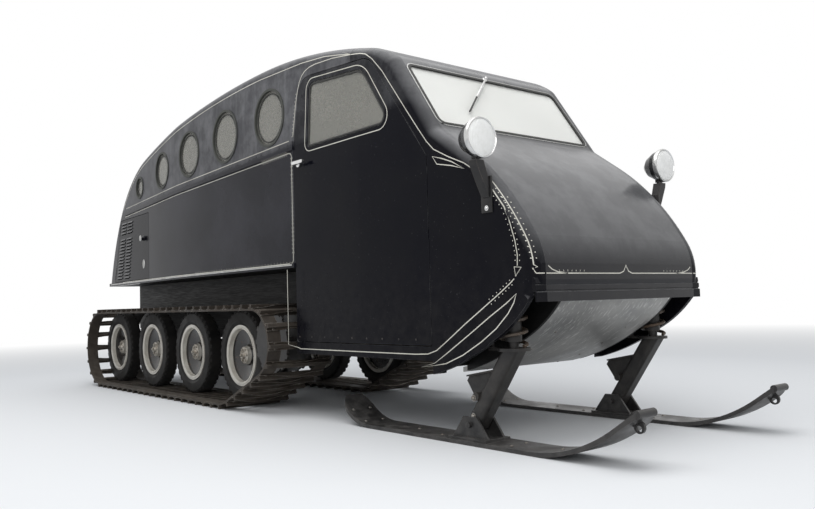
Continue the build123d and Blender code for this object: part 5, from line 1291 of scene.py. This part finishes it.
# Skis: runners of steel plate painted black, each bolted to the saddle of its leg.
# Rivets stand along the top of the plate, and bolts on the outer face of the leg.
ski_bolt_steel = workshop_finish(
    "ski_bolt_steel", (0.3, 0.29, 0.27), (0.18, 0.16, 0.14), (0.5, 0.49, 0.47),
    (0.16, 0.14, 0.12), (0.28, 0.5), metallic=0.85, cloud_scale=40.0, dust_strength=0.3,
)
SKI_Y = 0.57
RIVET_SPOTS = (
    (1.1, -0.06), (1.1, 0.06), (1.22, -0.06), (1.22, 0.06), (1.62, 0.0), (1.86, -0.05),
    (1.86, 0.05), (2.34, -0.05), (2.34, 0.05), (2.6, 0.0), (2.82, 0.0),
)
for hand, side in HANDS:
    ski = nodes[f"{hand}_ski"]
    places = []
    for along, across in RIVET_SPOTS:
        hit = ski.ray_cast(Vector((along, side * SKI_Y + across, 0.6)), -UPWARD)
        if hit[0] and hit[2].z > 0.6:
            places.append(lay_at(hit[1], hit[2]))
    rivet = dome_bolt(f"{hand}_ski_rivet", 0.0075, 0.006, 10)
    rivets = repeat(f"{hand}_ski_rivets", rivet, places)
    close_piece(rivets, ski_bolt_steel, f"{hand}_ski_body", smooth=50.0)
    heads = []
    for along, height in ((2.106, 0.224), (2.19, 0.42), (2.09, 0.135)):
        hit = hit_side(f"{hand}_ski_leg", along, height, side)
        if hit[0]:
            heads.append(dome_bolt("leg_bolt", 0.0105, 0.012, 12, hit[1], (0.0, side, 0.0)))
    heads = gather(f"{hand}_leg_bolts", heads)
    close_piece(heads, ski_bolt_steel, f"{hand}_ski_body", smooth=50.0)


# Belly pan screws: a double row of pan heads holds the edges of the sheet to the floor frame.
# They are of bright steel.
places = []
for along in [0.75 + 0.16 * n for n in range(11)]:
    for across in (-0.29, 0.29):
        hit = nodes["belly_pan"].ray_cast(Vector((along, across, 0.1)), UPWARD)
        if hit[0]:
            places.append(lay_at(hit[1], hit[2]))
belly_screws = repeat("belly_screws", dome_bolt("belly_screw", 0.005, 0.0035, 8), places)
close_piece(belly_screws, ski_bolt_steel, "coach", smooth=50.0)


# Seats: stuffed cushions and backs in brown leathercloth, on boards of plain wood.
# The driver's bench runs across the cab, and two long benches face each other behind it.
seat_cloth = workshop_finish(
    "seat_cloth", (0.075, 0.033, 0.017), (0.12, 0.058, 0.03), (0.2, 0.12, 0.07),
    (0.12, 0.1, 0.08), (0.36, 0.58), edges=0.35, edge_reach=0.006, dust_strength=0.1,
    cloud_scale=7.0, grain=340.0, coarse=26.0, grain_share=0.35, depth=0.0009,
)
seat_frame_wood = workshop_finish(
    "seat_frame_wood", (0.16, 0.085, 0.04), (0.24, 0.14, 0.07), (0.38, 0.26, 0.15),
    (0.1, 0.08, 0.06), (0.42, 0.66), edges=0.6, dust_strength=0.2, cloud_scale=9.0,
)
CUSHION_SWELL_STEPS = 16
CUSHION_SLACK = 0.014
CUSHION_SWELL = 0.024
CREASE_WIDTH = 0.016
CREASE_DEPTH = 0.13


def stuff_cushion(name, first, second, node, turn=None, channels=0, along_axis=0):
    """A stuffed cushion inside the space between two corners, blown up as cloth and then capped."""
    low = [min(pair) for pair in zip(first, second)]
    high = [max(pair) for pair in zip(first, second)]
    inner_low = [value + CUSHION_SLACK for value in low]
    inner_high = [value - CUSHION_SLACK for value in high]
    pad = add_block(name, inner_low, inner_high)
    thinnest = min(b - a for a, b in zip(inner_low, inner_high))
    work(pad, "BEVEL", width=thinnest * 0.24, segments=4)
    work(pad, "REMESH", mode="VOXEL", voxel_size=0.011)
    start = [vertex.co.copy() for vertex in pad.data.vertices]
    cloth = pad.modifiers.new("swell", "CLOTH")
    cloth.settings.use_pressure = True
    cloth.settings.uniform_pressure_force = 4.0
    cloth.settings.effector_weights.gravity = 0.0
    cloth.settings.quality = 4
    cloth.settings.tension_stiffness = 22.0
    for frame_number in range(1, CUSHION_SWELL_STEPS + 1):
        bpy.context.scene.frame_set(frame_number)
    hold(pad)
    bpy.ops.object.modifier_apply(modifier="swell")
    for vertex, before in zip(pad.data.vertices, start):
        moved = vertex.co - before
        if moved.length > CUSHION_SWELL:
            vertex.co = before + moved.normalized() * CUSHION_SWELL
    bpy.context.scene.frame_set(1)
    for vertex in pad.data.vertices:
        for axis in range(3):
            vertex.co[axis] = min(max(vertex.co[axis], low[axis]), high[axis])
    if channels:
        channel = (high[along_axis] - low[along_axis]) / channels
        for vertex in pad.data.vertices:
            share = (vertex.co[along_axis] - low[along_axis]) / channel
            crease = max(0.0, 1.0 - abs(share - round(share)) * channel / CREASE_WIDTH)
            if 0 < round(share) < channels:
                for axis in range(3):
                    if axis != along_axis:
                        inward = (low[axis] + high[axis]) / 2 - vertex.co[axis]
                        vertex.co[axis] += inward * CREASE_DEPTH * crease**2
    work(pad, "SUBSURF", levels=1, render_levels=1)
    if turn is not None:
        pad.data.transform(turn)
    close_piece(pad, seat_cloth, "coach", smooth=60.0)
    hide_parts(node)
    return pad


def wood_board(name, first, second, node, arris=0.004):
    """A planed board between two corners, its arrises taken off."""
    board = add_block(name, first, second)
    work(board, "BEVEL", width=arris, segments=2)
    close_piece(board, seat_frame_wood, "coach")
    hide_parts(node)
    return board


stuff_cushion(
    "driver_cushion", (0.905, -0.59, 0.735), (1.315, 0.59, 0.858), "front_seat",
    channels=2, along_axis=1,
)
back_lean = Matrix.Translation((0.87, 0.0, 0.86)) @ Matrix.Rotation(math.radians(-6.5), 4, "Y")
stuff_cushion(
    "driver_back", (-0.042, -0.59, 0.008), (0.058, 0.59, 0.452), "front_seat",
    turn=back_lean, channels=2, along_axis=1,
)
wood_board("driver_seat_front", (1.235, -0.585, 0.424), (1.258, 0.585, 0.735), "front_seat")
wood_board("driver_seat_rear", (0.915, -0.585, 0.424), (0.938, 0.585, 0.735), "front_seat")
for hand, side in HANDS:
    wood_board(
        f"{hand}_driver_seat_end", (0.938, side * 0.562, 0.424), (1.235, side * 0.584, 0.735),
        "front_seat",
    )
    stuff_cushion(
        f"{hand}_bench_cushion", (-1.69, side * 0.335, 0.968), (0.37, side * 0.585, 1.056),
        "side_benches", channels=4,
    )
    stuff_cushion(
        f"{hand}_bench_back", (-1.69, side * 0.578, 1.07), (0.37, side * 0.637, 1.476),
        "side_benches", channels=4,
    )
    wood_board(
        f"{hand}_bench_board", (-1.698, side * 0.332, 0.9585), (0.378, side * 0.638, 0.97),
        "side_benches", arris=0.002,
    )


# Steering wheel: a black moulded rim on three spokes, as packed.
# A chromed horn button is pressed into its hub, square to the column.
BUTTON_PROFILE = [
    (0.0, 0.0), (0.0, 0.03), (0.006, 0.0295), (0.011, 0.024), (0.0135, 0.012), (0.014, 0.0),
]
STEERING_HUB = Vector((1.5, 0.33, 1.29))
COLUMN_FOOT = Vector((1.985, 0.33, 0.56))
horn_button = spin_profile("horn_button", BUTTON_PROFILE, 32)
column_way = (STEERING_HUB - COLUMN_FOOT).normalized()
hit = nodes["steering_wheel"].ray_cast(STEERING_HUB + column_way * 0.4, -column_way)
horn_button.data.transform(lay_at(hit[1], column_way))
close_piece(horn_button, bright_chrome, "steering_wheel_body")
